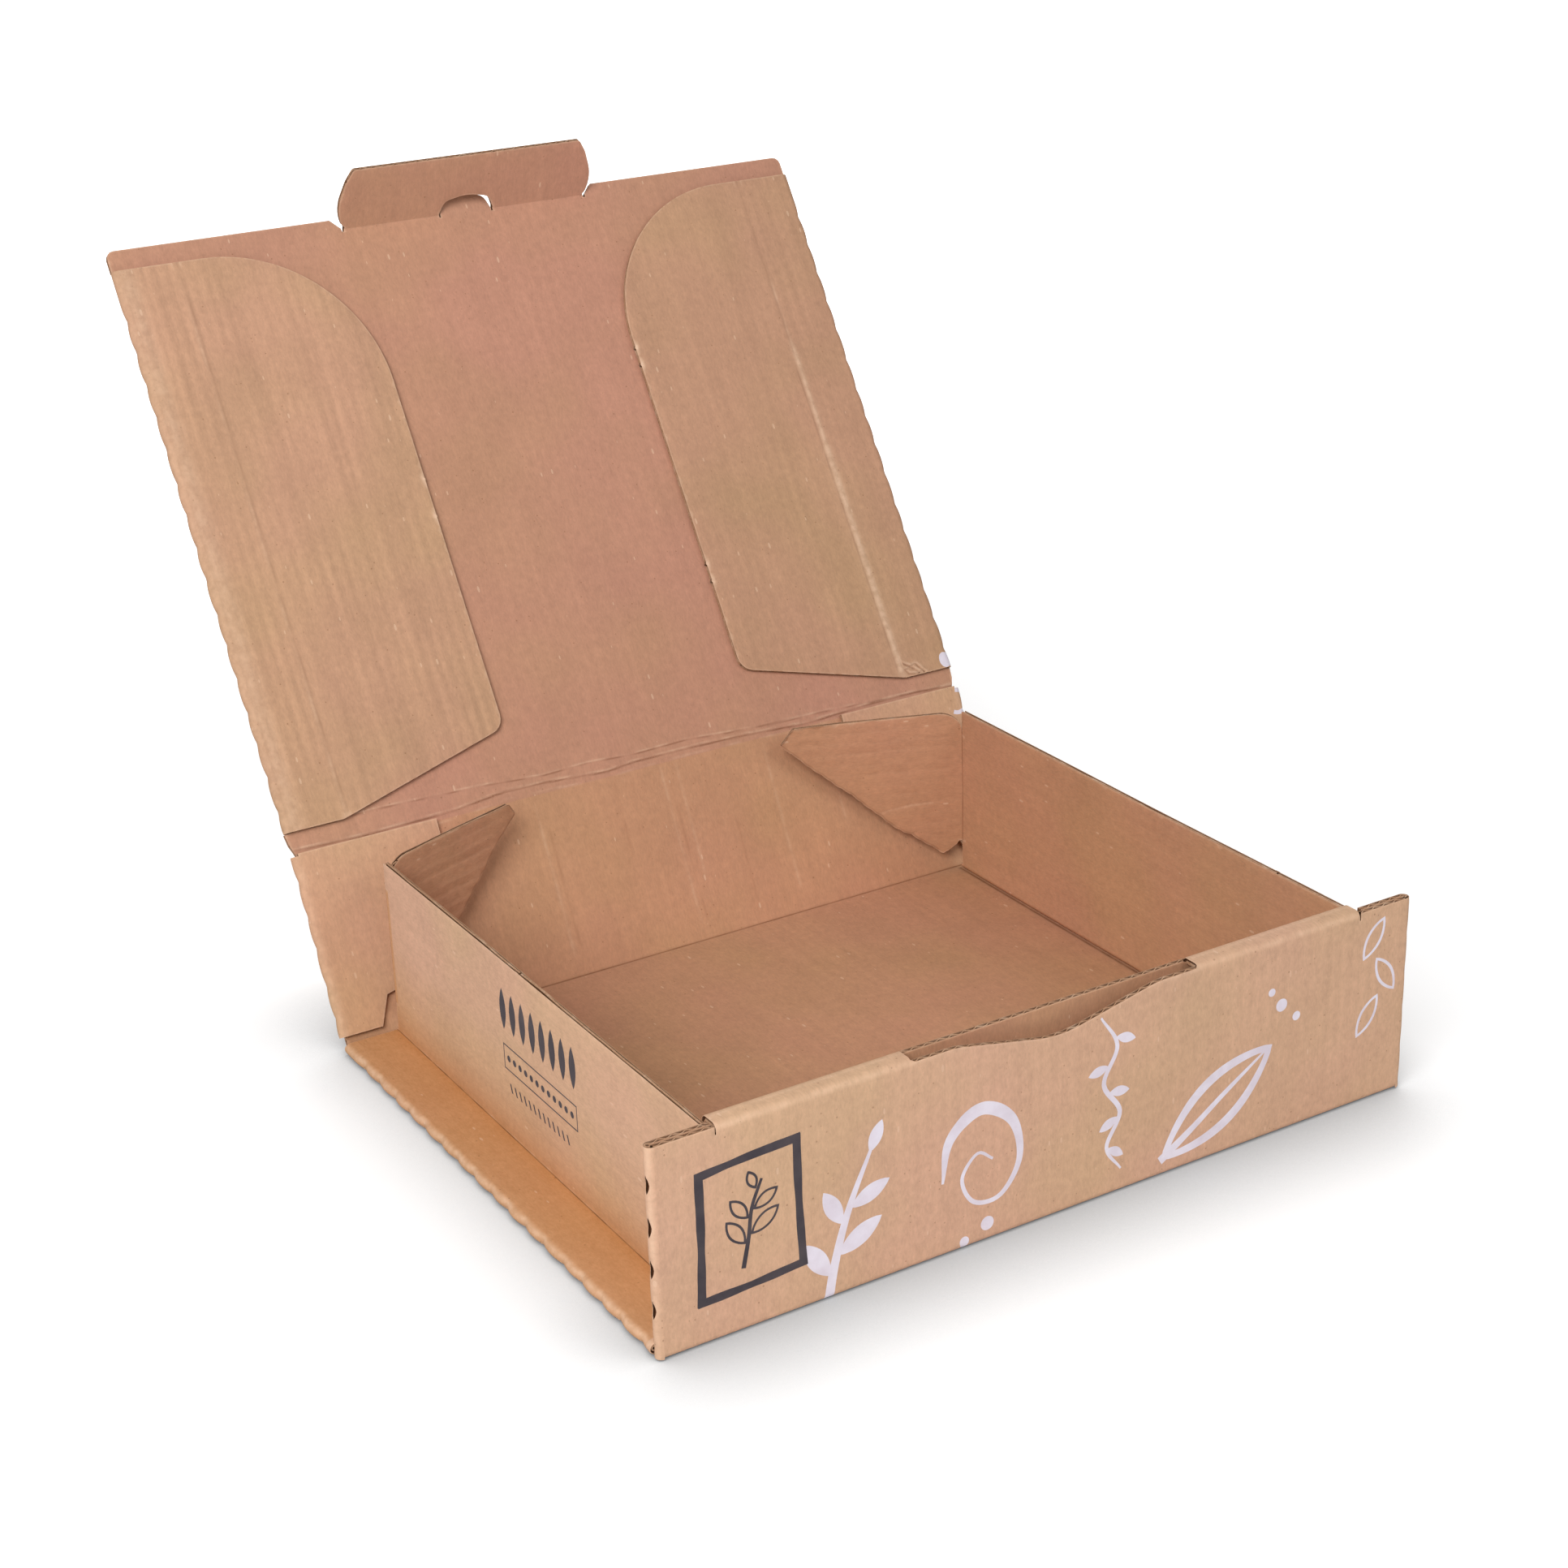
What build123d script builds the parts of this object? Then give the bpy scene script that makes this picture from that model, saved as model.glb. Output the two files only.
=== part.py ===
from build123d import *
import math
import os

# Shipping box for three bottles, folded from one sheet of corrugated board, with no glue or tape.
# Millimetres. The origin is the middle of the base's underside: +X right, +Y back, +Z up.
# Every panel is drawn as it lies in the closed box, and the box is then opened at its creases.

# Driving dimensions: the board and its folds
board = 2.8
layer_gap = 0.2
fold_radius = 2.0
crease_gap = 0.15

# Driving dimensions: the box
box_width = 400.0
box_depth = 323.0
box_height = 100.0
closing_gap = 0.3
panel_gap = 0.5

# How far the box stands open: angles from the closed box
wall_lean = 27.0
lid_opening = 96.0
tuck_opening = 40.0
flap_splay = 21.0

# How far the lid can fold back past the back wall, which sets the bevel between them
lid_fold_back = 62.0

# Double layer beside each side wall
ledge_width = 28.0

# Front wall, rolled over the flaps folded behind it
roll_side_gap = 0.4
raw_end_drop = 1.0
flap_to_slot = 4.6

# Slot in the roll's flat top, with a finger dip in its front edge
slot_side_gap = 0.5
dip_width = 106.0
dip_depth = 11.0
dip_bottom_radius = 57.0
dip_end_radius = 40.0

# Back wall's side flaps, folded flat onto its inner face
back_flap_reach = 78.0
back_flap_foot = 4.9
back_flap_head_gap = 1.7
back_flap_step_height = 21.0
back_flap_heel_reach = 42.0
back_flap_heel_height = 24.0
back_flap_edge_foot = 60.0
notch_foot_reach = 22.0
notch_top_reach = 28.5

# Lid
lid_crease_spacing = 9.0
groove_width = 2.4
groove_depth = 0.8
lid_corner_radius = 4.0
outer_edge_radius = 2.0
lid_front_setback = 0.5
lid_relief_width = 5.1
tuck_side_gap = 1.2

# Tuck flap on the lid's front edge, and the half-moon that stays on the lid
tuck_root_half_width = 71.4
tuck_bulge = 3.5
tuck_bulge_height = 11.0
tuck_shoulder_height = 27.0
tuck_shoulder_inset = 0.9
tuck_tip_inset = 4.9
tuck_length = 33.8
tongue_half_width = 15.0
tongue_height = 9.0
tongue_gap = 0.8

# Wings on the lid's side edges: a strip along the edge and a panel past a second crease
strip_width = 33.0
wing_panel_width = 95.5
wing_slant = 25.8
wing_slant_radius = 9.0
wing_arc_radius = 81.0

# Corner flaps on the back edges of the side walls
corner_flap_length = 100.0
corner_flap_tip_height = 87.0
corner_flap_tip_cut = 7.0
corner_flap_heel = 15.0
corner_flap_heel_height = 16.0
corner_flap_root_height = 21.0
corner_flap_root_step = 5.0
corner_flap_top_radius = 14.0

# Worked out from the values above
half_board = board / 2
pitch = board + layer_gap
flat_fold_radius = pitch / 2
half_width = box_width / 2
half_depth = box_depth / 2
side_fold_x = half_width - half_board - flat_fold_radius
outer_mid_y = half_depth - half_board
lid_mid_z = box_height + closing_gap + half_board
wing_mid_z = lid_mid_z - pitch
wall_top = wing_mid_z - half_board - closing_gap
wall_mid_x = half_width - ledge_width - half_board
ledge_mid_z = half_board + pitch
roll_half_width = wall_mid_x - half_board - roll_side_gap
roll_top_z = box_height - half_board
roll_foot_z = board + panel_gap
raw_end_top = box_height - raw_end_drop
first_flap_y = pitch - outer_mid_y
second_flap_y = first_flap_y + pitch
inner_panel_y = second_flap_y + pitch
slot_mid_y = (inner_panel_y - outer_mid_y) / 2
slot_half_width = tuck_root_half_width + tuck_bulge + slot_side_gap
front_flap_end_x = slot_half_width + flap_to_slot
back_flap_y = outer_mid_y - pitch
corner_flap_y = back_flap_y - board - closing_gap
ledge_front_y = second_flap_y - half_board
ledge_back_y = back_flap_y - half_board - panel_gap
lid_front_y = lid_front_setback - half_depth
wing_front_y = inner_panel_y + half_board + panel_gap
wing_back_y = outer_mid_y - lid_crease_spacing
panel_crease_x = half_width - strip_width
panel_edge_x = panel_crease_x - wing_panel_width

back_axis = Axis((0, outer_mid_y, half_board), (1, 0, 0))
lid_axis = Axis((0, outer_mid_y, lid_mid_z), (1, 0, 0))
tuck_axis = Axis((0, slot_mid_y, lid_mid_z), (1, 0, 0))
corner_axis = Axis((wall_mid_x, corner_flap_y, 0), (0, 0, 1))


def outline(*points):
    """A flat face with straight edges through the points."""
    return make_face(Polyline(*points, close=True))


def folded_board(*lines):
    """The section of a folded board, from the line along its middle."""
    return trace(Curve() + list(lines), line_width=board)


def flat_fold(panel_start, panel_mid, flap_end, toward):
    """A panel that runs out to the box's side and turns back flat over itself, as its middle line."""
    panel = Line((panel_start, panel_mid), (side_fold_x, panel_mid))
    turn = JernArc(start=panel @ 1, tangent=panel % 1, radius=flat_fold_radius, arc_size=180 * toward)
    flap = Line(turn @ 1, (flap_end, panel_mid + toward * pitch))
    return [panel, turn, flap]


def turn_from(line, arc_size):
    """A right-angle fold that carries on from the end of a line."""
    return JernArc(start=line @ 1, tangent=line % 1, radius=fold_radius, arc_size=arc_size)


def across(section, start_x, end_x):
    """A section drawn in Y and Z, drawn out along X."""
    return extrude(Plane.YZ.offset(start_x) * section, amount=end_x - start_x)


def along(section, start_y, end_y):
    """A section drawn in X and Z, drawn out along Y."""
    return extrude(Plane.XZ.offset(-end_y) * section, amount=end_y - start_y)


def upright(section, start_z, end_z):
    """A section drawn in X and Y, drawn out along Z."""
    return extrude(Plane.XY.offset(start_z) * section, amount=end_z - start_z)


def flipped(piece):
    """The left piece of a pair, from the right one."""
    return mirror(piece, about=Plane.YZ)


def both_sides(piece):
    return piece + flipped(piece)


# Tray: base, ledges, side walls and the rolled front wall, folded as one piece

def base():
    """Floor of the box, with its back end bevelled so that the back wall can stand up."""
    front_y = fold_radius - outer_mid_y
    back_y = outer_mid_y - crease_gap
    section = outline(
        (front_y, 0), (back_y, 0), (back_y, half_board), (back_y - half_board, board), (front_y, board)
    )
    return across(section, -side_fold_x, side_fold_x)


def ledge():
    """Side flap folded flat inwards over the base, and the fold at the foot of the side wall."""
    lines = flat_fold(wall_mid_x, half_board, wall_mid_x + fold_radius, 1)
    section = folded_board(*lines, turn_from(lines[-1], -90))
    return along(section, ledge_front_y, ledge_back_y)


def side_wall():
    """Side wall and its front flap, turned inwards inside the front wall."""
    back_y = corner_flap_y - crease_gap
    wall = Line((wall_mid_x, back_y), (wall_mid_x, second_flap_y + fold_radius))
    turn = turn_from(wall, -90)
    front_flap = Line(turn @ 1, (front_flap_end_x, second_flap_y))
    panels = upright(folded_board(wall, turn, front_flap), ledge_mid_z + fold_radius, wall_top)
    inner_x = wall_mid_x - half_board
    bevel = outline((inner_x, back_y), (wall_mid_x, back_y), (inner_x, back_y - half_board))
    return panels - upright(bevel, 0, box_height)


def front_foot():
    return JernArc(
        start=(fold_radius - outer_mid_y, half_board), tangent=(-1, 0), radius=fold_radius, arc_size=-90
    )


def rolled_section():
    """Front wall where it is rolled over: outer panel, flat top and inner panel."""
    foot = front_foot()
    rise = Line(foot @ 1, (-outer_mid_y, roll_top_z - fold_radius))
    front_turn = turn_from(rise, -90)
    top = Line(front_turn @ 1, (inner_panel_y - fold_radius, roll_top_z))
    back_turn = turn_from(top, -90)
    drop = Line(back_turn @ 1, (inner_panel_y, roll_foot_z))
    return folded_board(foot, rise, front_turn, top, back_turn, drop)


def raw_section(top_z):
    """Outer panel where it ends in a raw edge at the top."""
    foot = front_foot()
    return folded_board(foot, Line(foot @ 1, (-outer_mid_y, top_z)))


def finger_dip():
    """What the finger dip takes out of the slot's front edge."""
    edge = FilletPolyline(
        (-slot_half_width, roll_top_z),
        (-dip_width / 2, roll_top_z),
        (0, roll_top_z - dip_depth),
        (dip_width / 2, roll_top_z),
        (slot_half_width, roll_top_z),
        radius=[dip_end_radius, dip_bottom_radius, dip_end_radius],
    )
    over = Polyline(edge @ 1, (slot_half_width, box_height), (-slot_half_width, box_height), edge @ 0)
    return along(make_face(Curve() + [edge, over]), -half_depth, board - half_depth)


def front_wall():
    rolled = across(rolled_section(), slot_half_width, roll_half_width)
    raw_end = across(raw_section(raw_end_top), roll_half_width, side_fold_x)
    slot_front = across(raw_section(roll_top_z), -slot_half_width, slot_half_width)
    inner_line = Line((inner_panel_y, roll_foot_z), (inner_panel_y, roll_top_z))
    slot_back = across(folded_board(inner_line), -slot_half_width, slot_half_width)
    return both_sides(rolled + raw_end) + (slot_front - finger_dip()) + slot_back


def front_panel_flap():
    """Side flap of the outer panel, folded flat behind it, and higher where it is clear of the roll."""
    section = folded_board(*flat_fold(roll_half_width, -outer_mid_y, front_flap_end_x, 1))
    under_roll = upright(section, pitch + layer_gap, wall_top)
    clear_of_roll = outline(
        (half_width - ledge_width, -half_depth),
        (half_width, -half_depth),
        (half_width, 0),
        (half_width - ledge_width, 0),
    )
    return under_roll + upright(section & clear_of_roll, wall_top, raw_end_top)


def tray():
    return base() + front_wall() + both_sides(ledge() + side_wall() + front_panel_flap())


# Back wall, upright as in the closed box

def back_wall_flap():
    """Side flap folded flat onto the back wall's inner face, cut away at its lower corners."""
    foot_z = half_board + back_flap_foot
    top_z = lid_mid_z - back_flap_head_gap
    shape = outline(
        (half_width, foot_z),
        (half_width, top_z),
        (half_width - back_flap_reach, top_z),
        (half_width - back_flap_reach, back_flap_edge_foot),
        (half_width - back_flap_heel_reach, back_flap_heel_height),
        (half_width - notch_top_reach, back_flap_step_height),
        (half_width - notch_foot_reach, foot_z),
    )
    lines = flat_fold(half_width - back_flap_reach, outer_mid_y, half_width - back_flap_reach, -1)
    return upright(folded_board(*lines), foot_z, top_z) & along(shape, 0, half_depth)


def back_wall():
    """Back wall, bevelled where it meets the base and the lid."""
    inner_y = outer_mid_y - half_board
    foot_z = half_board + crease_gap
    head_z = lid_mid_z - crease_gap
    fold_back_bevel = half_board * math.tan(math.radians(lid_fold_back / 2))
    section = outline(
        (outer_mid_y, foot_z),
        (half_depth, foot_z),
        (half_depth, head_z - fold_back_bevel),
        (outer_mid_y, head_z),
        (inner_y, head_z - half_board),
        (inner_y, foot_z + half_board),
    )
    return across(section, -side_fold_x, side_fold_x) + both_sides(back_wall_flap())


# Lid, flat on the closed box

def lid_section():
    """Section of the lid from hinge to front edge, with the groove of its second crease."""
    under_z = lid_mid_z - half_board
    back_y = outer_mid_y - crease_gap
    fold_back_bevel = half_board * math.tan(math.radians(lid_fold_back / 2))
    groove_y = wing_back_y
    return outline(
        (lid_front_y - tongue_height, under_z),
        (groove_y - groove_width / 2, under_z),
        (groove_y, under_z + groove_depth),
        (groove_y + groove_width / 2, under_z),
        (back_y - half_board, under_z),
        (back_y, lid_mid_z),
        (back_y - fold_back_bevel, lid_mid_z + half_board),
        (lid_front_y - tongue_height, lid_mid_z + half_board),
    )


def lid_outline():
    """The lid seen from above: front corners, relief beside the tuck flap, and the half-moon."""
    crease_y = slot_mid_y + crease_gap
    root_x = tuck_root_half_width + tuck_side_gap
    side = FilletPolyline(
        (half_width, outer_mid_y),
        (half_width, lid_front_y),
        (root_x + lid_relief_width, lid_front_y),
        radius=lid_corner_radius,
    )
    relief = Polyline(
        side @ 1,
        (root_x, slot_mid_y),
        (root_x, crease_y),
        (tongue_half_width, crease_y),
        (tongue_half_width, slot_mid_y),
    )
    half_moon = ThreePointArc(relief @ 1, (0, slot_mid_y - tongue_height), (-tongue_half_width, slot_mid_y))
    right = Curve() + [side, relief]
    back = Line((half_width, outer_mid_y), (-half_width, outer_mid_y))
    return make_face(right + mirror(right, about=Plane.YZ) + [half_moon, back])


def lid():
    edges = outline(
        (-half_width, lid_mid_z - half_board),
        (half_width, lid_mid_z - half_board),
        (half_width, lid_mid_z + half_board),
        (-half_width, lid_mid_z + half_board),
    )
    edges = fillet(edges.vertices().group_by(Axis.Y)[-1], outer_edge_radius)
    panel = across(lid_section(), -half_width, half_width)
    panel = panel & along(edges, lid_front_y - tongue_height, outer_mid_y)
    panel = panel & upright(lid_outline(), 0, lid_mid_z + board)
    crease_y = slot_mid_y + crease_gap
    bevel = outline(
        (crease_y, lid_mid_z), (crease_y, lid_mid_z - board), (crease_y + board, lid_mid_z - board)
    )
    bevel_end = tuck_root_half_width + tuck_side_gap
    return panel - both_sides(across(bevel, tongue_half_width, bevel_end))


# Tuck flap, hanging down into the slot as in the closed box

def tuck_flap():
    root_z = lid_mid_z - crease_gap
    shoulder = ThreePointArc(
        (tuck_root_half_width, root_z),
        (tuck_root_half_width + tuck_bulge, lid_mid_z - tuck_bulge_height),
        (tuck_root_half_width - tuck_shoulder_inset, lid_mid_z - tuck_shoulder_height),
    )
    tip = Line(shoulder @ 1, (tuck_root_half_width - tuck_tip_inset, lid_mid_z - tuck_length))
    side = Curve() + [shoulder, tip]
    root = Line((tuck_root_half_width, root_z), (-tuck_root_half_width, root_z))
    end = Line(tip @ 1, (tuck_tip_inset - tuck_root_half_width, lid_mid_z - tuck_length))
    shape = make_face(side + mirror(side, about=Plane.YZ) + [root, end])

    tongue_radius = (tongue_half_width**2 + tongue_height**2) / (2 * tongue_height)
    tongue_centre_z = lid_mid_z + tongue_radius - tongue_height
    shape = shape - Pos(0, tongue_centre_z) * Circle(tongue_radius + tongue_gap)
    flap = along(shape, slot_mid_y - half_board, slot_mid_y + half_board)
    bevel = outline(
        (slot_mid_y, root_z), (slot_mid_y + board, root_z), (slot_mid_y + board, root_z - board)
    )
    return flap - across(bevel, -box_width, box_width)


# Right wing, flat against the lid's inner face

def wing_crease_section(crease_x, far_x):
    """Section of a board beside the wing's crease, bevelled on the side that folds together."""
    into = math.copysign(1, far_x - crease_x)
    start_x = crease_x + into * crease_gap
    return outline(
        (start_x, wing_mid_z + half_board),
        (far_x, wing_mid_z + half_board),
        (far_x, wing_mid_z - half_board),
        (start_x + into * half_board, wing_mid_z - half_board),
        (start_x, wing_mid_z),
    )


def wing_strip():
    section = wing_crease_section(panel_crease_x, half_width)
    outer_edge = section.vertices().sort_by(Axis.Y)[:2].sort_by(Axis.X)[-1]
    return along(fillet(outer_edge, outer_edge_radius), wing_front_y, wing_back_y)


def wing_panel():
    slant_start_y = wing_back_y - panel_gap
    edge = FilletPolyline(
        (panel_crease_x, slant_start_y),
        (panel_edge_x, slant_start_y - wing_slant),
        (panel_edge_x, wing_front_y),
        (panel_crease_x, wing_front_y),
        radius=[wing_slant_radius, wing_arc_radius],
    )
    shape = make_face(Curve() + [edge, Line(edge @ 1, edge @ 0)])
    panel = along(wing_crease_section(panel_crease_x, panel_edge_x), wing_front_y, wing_back_y)
    return panel & upright(shape, 0, lid_mid_z)


# Right corner flap, turned in as in the closed box

def corner_flap():
    root_x = wall_mid_x - crease_gap
    end_x = wall_mid_x - corner_flap_length
    edge = FilletPolyline(
        (root_x, corner_flap_root_height),
        (root_x, wall_top),
        (end_x + corner_flap_tip_cut, wall_top),
        radius=corner_flap_top_radius,
    )
    lower = Polyline(
        edge @ 1,
        (end_x, corner_flap_tip_height),
        (wall_mid_x - corner_flap_heel, corner_flap_heel_height),
        (wall_mid_x - corner_flap_root_step, corner_flap_root_height),
        edge @ 0,
    )
    front_y = corner_flap_y - half_board
    flap = along(make_face(Curve() + [edge, lower]), front_y, corner_flap_y + half_board)
    bevel = outline((root_x, corner_flap_y), (root_x, front_y), (root_x - half_board, front_y))
    return flap - upright(bevel, 0, box_height)


def opened_with_wall(piece):
    return piece.rotate(back_axis, -wall_lean)


def opened_with_lid(piece):
    return opened_with_wall(piece.rotate(lid_axis, -lid_opening))


right_strip = opened_with_lid(wing_strip())
right_panel = opened_with_lid(wing_panel())
right_corner_flap = corner_flap().rotate(corner_axis, -flap_splay)

pieces = {
    "tray": tray(),
    "back_wall": opened_with_wall(back_wall()),
    "lid": opened_with_lid(lid()),
    "tuck_flap": opened_with_lid(tuck_flap().rotate(tuck_axis, -tuck_opening)),
    "right_wing_strip": right_strip,
    "right_wing_panel": right_panel,
    "left_wing_strip": flipped(right_strip),
    "left_wing_panel": flipped(right_panel),
    "right_corner_flap": right_corner_flap,
    "left_corner_flap": flipped(right_corner_flap),
}

os.makedirs("parts", exist_ok=True)
for name, piece in pieces.items():
    export_step(piece, f"parts/{name}.step")
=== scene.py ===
import math

import bpy
import numpy as np
from mathutils import Matrix, Vector
from mathutils.geometry import delaunay_2d_cdt


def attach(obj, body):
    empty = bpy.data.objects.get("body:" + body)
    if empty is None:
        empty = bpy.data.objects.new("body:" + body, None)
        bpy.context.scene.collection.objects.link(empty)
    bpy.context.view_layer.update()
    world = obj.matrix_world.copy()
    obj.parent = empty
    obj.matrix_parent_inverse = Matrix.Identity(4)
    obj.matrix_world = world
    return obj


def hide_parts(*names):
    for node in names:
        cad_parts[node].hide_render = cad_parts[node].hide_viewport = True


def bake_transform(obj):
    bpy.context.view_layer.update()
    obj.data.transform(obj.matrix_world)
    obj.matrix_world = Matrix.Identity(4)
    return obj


# Shipping box for bottles, folded from one sheet of corrugated board. Lengths are millimetres until a mesh is
# made, in the CAD model's frame: the origin is the middle of the base's underside, +X right, +Y back, +Z up.
# Every panel is drawn in the flat sheet, p across the flutes and q along them, and then placed. The right
# side is built, and the left one is its mirror image.

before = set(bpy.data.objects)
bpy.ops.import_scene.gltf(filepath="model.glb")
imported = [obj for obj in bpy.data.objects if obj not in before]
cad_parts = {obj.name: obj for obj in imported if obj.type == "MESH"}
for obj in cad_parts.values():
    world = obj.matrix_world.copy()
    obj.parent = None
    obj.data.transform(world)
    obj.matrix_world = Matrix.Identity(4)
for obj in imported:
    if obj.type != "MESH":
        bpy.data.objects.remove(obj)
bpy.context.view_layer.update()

MM = 0.001

# The board and its flutes
BOARD = 2.8
HALF = BOARD / 2
LINER = 0.38
CORE = HALF - LINER
FLUTE = 6.4
LAYER = 3.0  # from one folded layer to the next
OPEN_FLUTES = 1.4  # how deep an edge is open between the liners where it is cut across the flutes
CLOSED_FLUTES = 0.9  # and where it is cut along them
CRUSH = 0.16  # how far each liner gives at a cut edge
RIM_WEAR = 0.5

# The fluted paper in an edge: its mesh's step, half its thickness, and how far it is set in. An edge shorter
# than SHORTEST_EDGE has none.
RIBBONS = {OPEN_FLUTES: (0.8, 0.3, 0.06), CLOSED_FLUTES: (3.0, 0.42, 0.12)}
SHORTEST_EDGE = 4

# The mesh: its step across the flutes, the ring of points inside each edge, the room kept beside a fold's
# row, the step round a corner of an outline, the longest way in of a groove at a corner, and how near to a
# seam an edge's ends are
STEP = FLUTE / 4
RIM = 0.9
ROW_ROOM = 0.3
ROUND_STEP = 2.5
GROOVE_REACH = 3.4
SEAM_ROOM = 0.02

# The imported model's own measures
SIDE_FOLD_X = 197.1
OUTER_Y = 160.1
INNER_Y = -151.1
SECOND_Y = -154.1
WALL_X = 170.6
WALL_TOP = 97.0
ROLL_X = 168.8
ROLL_TOP_Z = 98.6
RAW_END_TOP = 99.0
ROLL_FOOT_Z = 3.3
FOLD = 2.0
SLOT_X = 75.4
WALL_HEIGHT = 100.3
TUCK_V = 315.7
LID_FRONT_V = 321.1
WING_LOW, WING_HIGH = 9.0, 309.3
PANEL_CREASE_X = 167.0
PANEL_EDGE_X = 71.5
CORNER_Y = 154.0
CORNER_LOW, CORNER_HIGH = 21.0, 83.0
WALL_TURN = 63.0
LID_TURN = -6.0
TUCK_TURN = 50.0
CORNER_TURN = 69.0

# How much of the panels beside a crease bends with it
BACK_BAND = 3.0
HINGE_BAND = 3.0
TUCK_BAND = 1.8
STRIP_BAND = 2.0
CORNER_BAND = 3.2

OUTER, INNER, CUT, WHITE, BLACK = range(5)
BACK, UP = np.array([0, 1, 0]), np.array([0, 0, 1])


def turned(angle):
    """Unit vector in the YZ plane, at an angle from the Y axis."""
    return np.array([0.0, math.cos(math.radians(angle)), math.sin(math.radians(angle))])


# The back wall, lid and tuck flap as the box stands open: direction, inner normal and foot
wall_up, wall_in = turned(WALL_TURN), turned(WALL_TURN + 90)
lid_out, lid_in = turned(WALL_TURN + LID_TURN), turned(WALL_TURN + LID_TURN + 90)
tuck_angle = WALL_TURN + LID_TURN + TUCK_TURN
tuck_out, tuck_in = turned(tuck_angle), turned(tuck_angle + 90)
wall_foot = np.array([0, OUTER_Y, HALF])
lid_foot = wall_foot + WALL_HEIGHT * wall_up
tuck_foot = lid_foot + TUCK_V * lid_out


class Path:
    """Middle line of a folded board in a plane: straight runs joined by round folds."""

    def __init__(self, start, heading, *steps):
        self.parts = []
        at, angle, length = np.array(start, float), math.radians(heading), 0.0
        for step in steps:
            turn, radius = (math.radians(step[0]), step[1]) if isinstance(step, tuple) else (0.0, 0.0)
            span = abs(turn) * radius if turn else step
            self.parts.append((length, at, angle, turn, span))
            at = self._along(at, angle, turn, span, np.array([span]))[0][0]
            angle += turn
            length += span
        self.length = length
        self.marks = [part[0] for part in self.parts] + [length]

    @staticmethod
    def _along(at, angle, turn, span, d):
        """Points and headings at distances d from the start of a run or fold."""
        if not turn:
            return at + d[:, None] * np.array([math.cos(angle), math.sin(angle)]), np.full(len(d), angle)
        now = angle + turn * d / span
        shift = np.column_stack([np.sin(now) - math.sin(angle), math.cos(angle) - np.cos(now)])
        return at + span / turn * shift, now

    def at(self, s):
        """Points and left normals at distances along the path."""
        points, angles = np.zeros((len(s), 2)), np.zeros(len(s))
        for number, (begin, at, angle, turn, span) in enumerate(self.parts):
            here = s >= begin if number else np.ones(len(s), bool)
            d = s[here] - begin
            d = np.clip(d, 0, span) if turn else d
            points[here], angles[here] = self._along(at, angle, turn, span, d)
        return points, np.column_stack([-np.sin(angles), np.cos(angles)])

    def rows(self, step=16):
        """Distances at which a mesh needs a row of vertices, to follow the folds."""
        found = []
        for begin, _, _, turn, span in self.parts:
            if turn:
                count = max(2, math.ceil(abs(math.degrees(turn)) / step))
                found += [begin + span * k / count for k in range(count + 1)]
        return found


def field(seed, size, count=7):
    """A smooth uneven field over the flat board, about -1 to 1, with swells of about that size."""
    rng = np.random.default_rng(seed)
    angles = rng.uniform(0, 2 * math.pi, count)
    lengths = size * rng.uniform(0.7, 1.8, count)
    phases = rng.uniform(0, 2 * math.pi, count)

    def value(p, q):
        total = sum(
            np.sin(2 * math.pi * (p * math.cos(a) + q * math.sin(a)) / length + phase)
            for a, length, phase in zip(angles, lengths, phases)
        )
        return total / math.sqrt(count)

    return value


def wobble(seed, size, count=6):
    """A smooth uneven line, about -1 to 1."""
    flat = field(seed, size, count)
    return lambda s: flat(s, 0 * s)


def lengths_along(line):
    """The distance along a line at each of its points."""
    return np.concatenate([[0], np.cumsum(np.linalg.norm(np.diff(line, axis=0), axis=1))])


def sampled(line, run):
    """Points at distances along a line."""
    length = lengths_along(line)
    return np.column_stack([np.interp(run, length, line[:, k]) for k in (0, 1)])


def left_normals(ahead):
    """Unit vectors to the left of directions."""
    return np.column_stack([-ahead[:, 1], ahead[:, 0]]) / np.linalg.norm(ahead, axis=1)[:, None]


def rounded(points, radii):
    """A line through the points, with round corners at its inner points."""
    points = [np.array(point, float) for point in points]
    line = [points[0]]
    for before, corner, after, radius in zip(points, points[1:], points[2:], radii):
        a, b = before - corner, after - corner
        a, b = a / np.linalg.norm(a), b / np.linalg.norm(b)
        opening = math.acos(np.clip(a @ b, -1, 1))
        sweep = math.pi - opening
        reach = radius / math.tan(opening / 2)
        middle = corner + (a + b) / np.linalg.norm(a + b) * radius / math.sin(opening / 2)
        x, y = corner + a * reach - middle
        last = corner + b * reach - middle
        sign = 1 if x * last[1] - y * last[0] > 0 else -1
        count = max(3, math.ceil(sweep * radius / ROUND_STEP))
        for angle in (sign * sweep * k / count for k in range(count + 1)):
            c, s = math.cos(angle), math.sin(angle)
            line.append(middle + np.array([c * x - s * y, s * x + c * y]))
    line.append(points[-1])
    return [tuple(point) for point in line]


def mirrored(line):
    """The same line on the left, run the other way."""
    return [(-p, q) for p, q in reversed(line)]


def side_seams(low, high):
    """Seams along the folds on both sides."""
    return [(0, x, low, high) for x in (SIDE_FOLD_X, -SIDE_FOLD_X)]


def both_halves(right):
    """An outline from its right half, which runs from low q to high q."""
    return right + mirrored(right)


def densified(loop, across=STEP, along=5.0):
    """The loop with points added, closer together where it crosses the flutes."""
    loop = np.array(loop, float)
    points = []
    for a, b in zip(loop, np.roll(loop, -1, axis=0)):
        d = np.abs(b - a)
        count = max(1, math.ceil(max(d[0] / across, d[1] / along) - 1e-6))
        points += [a + (b - a) * k / count for k in range(count)]
    return np.array(points)


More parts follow.
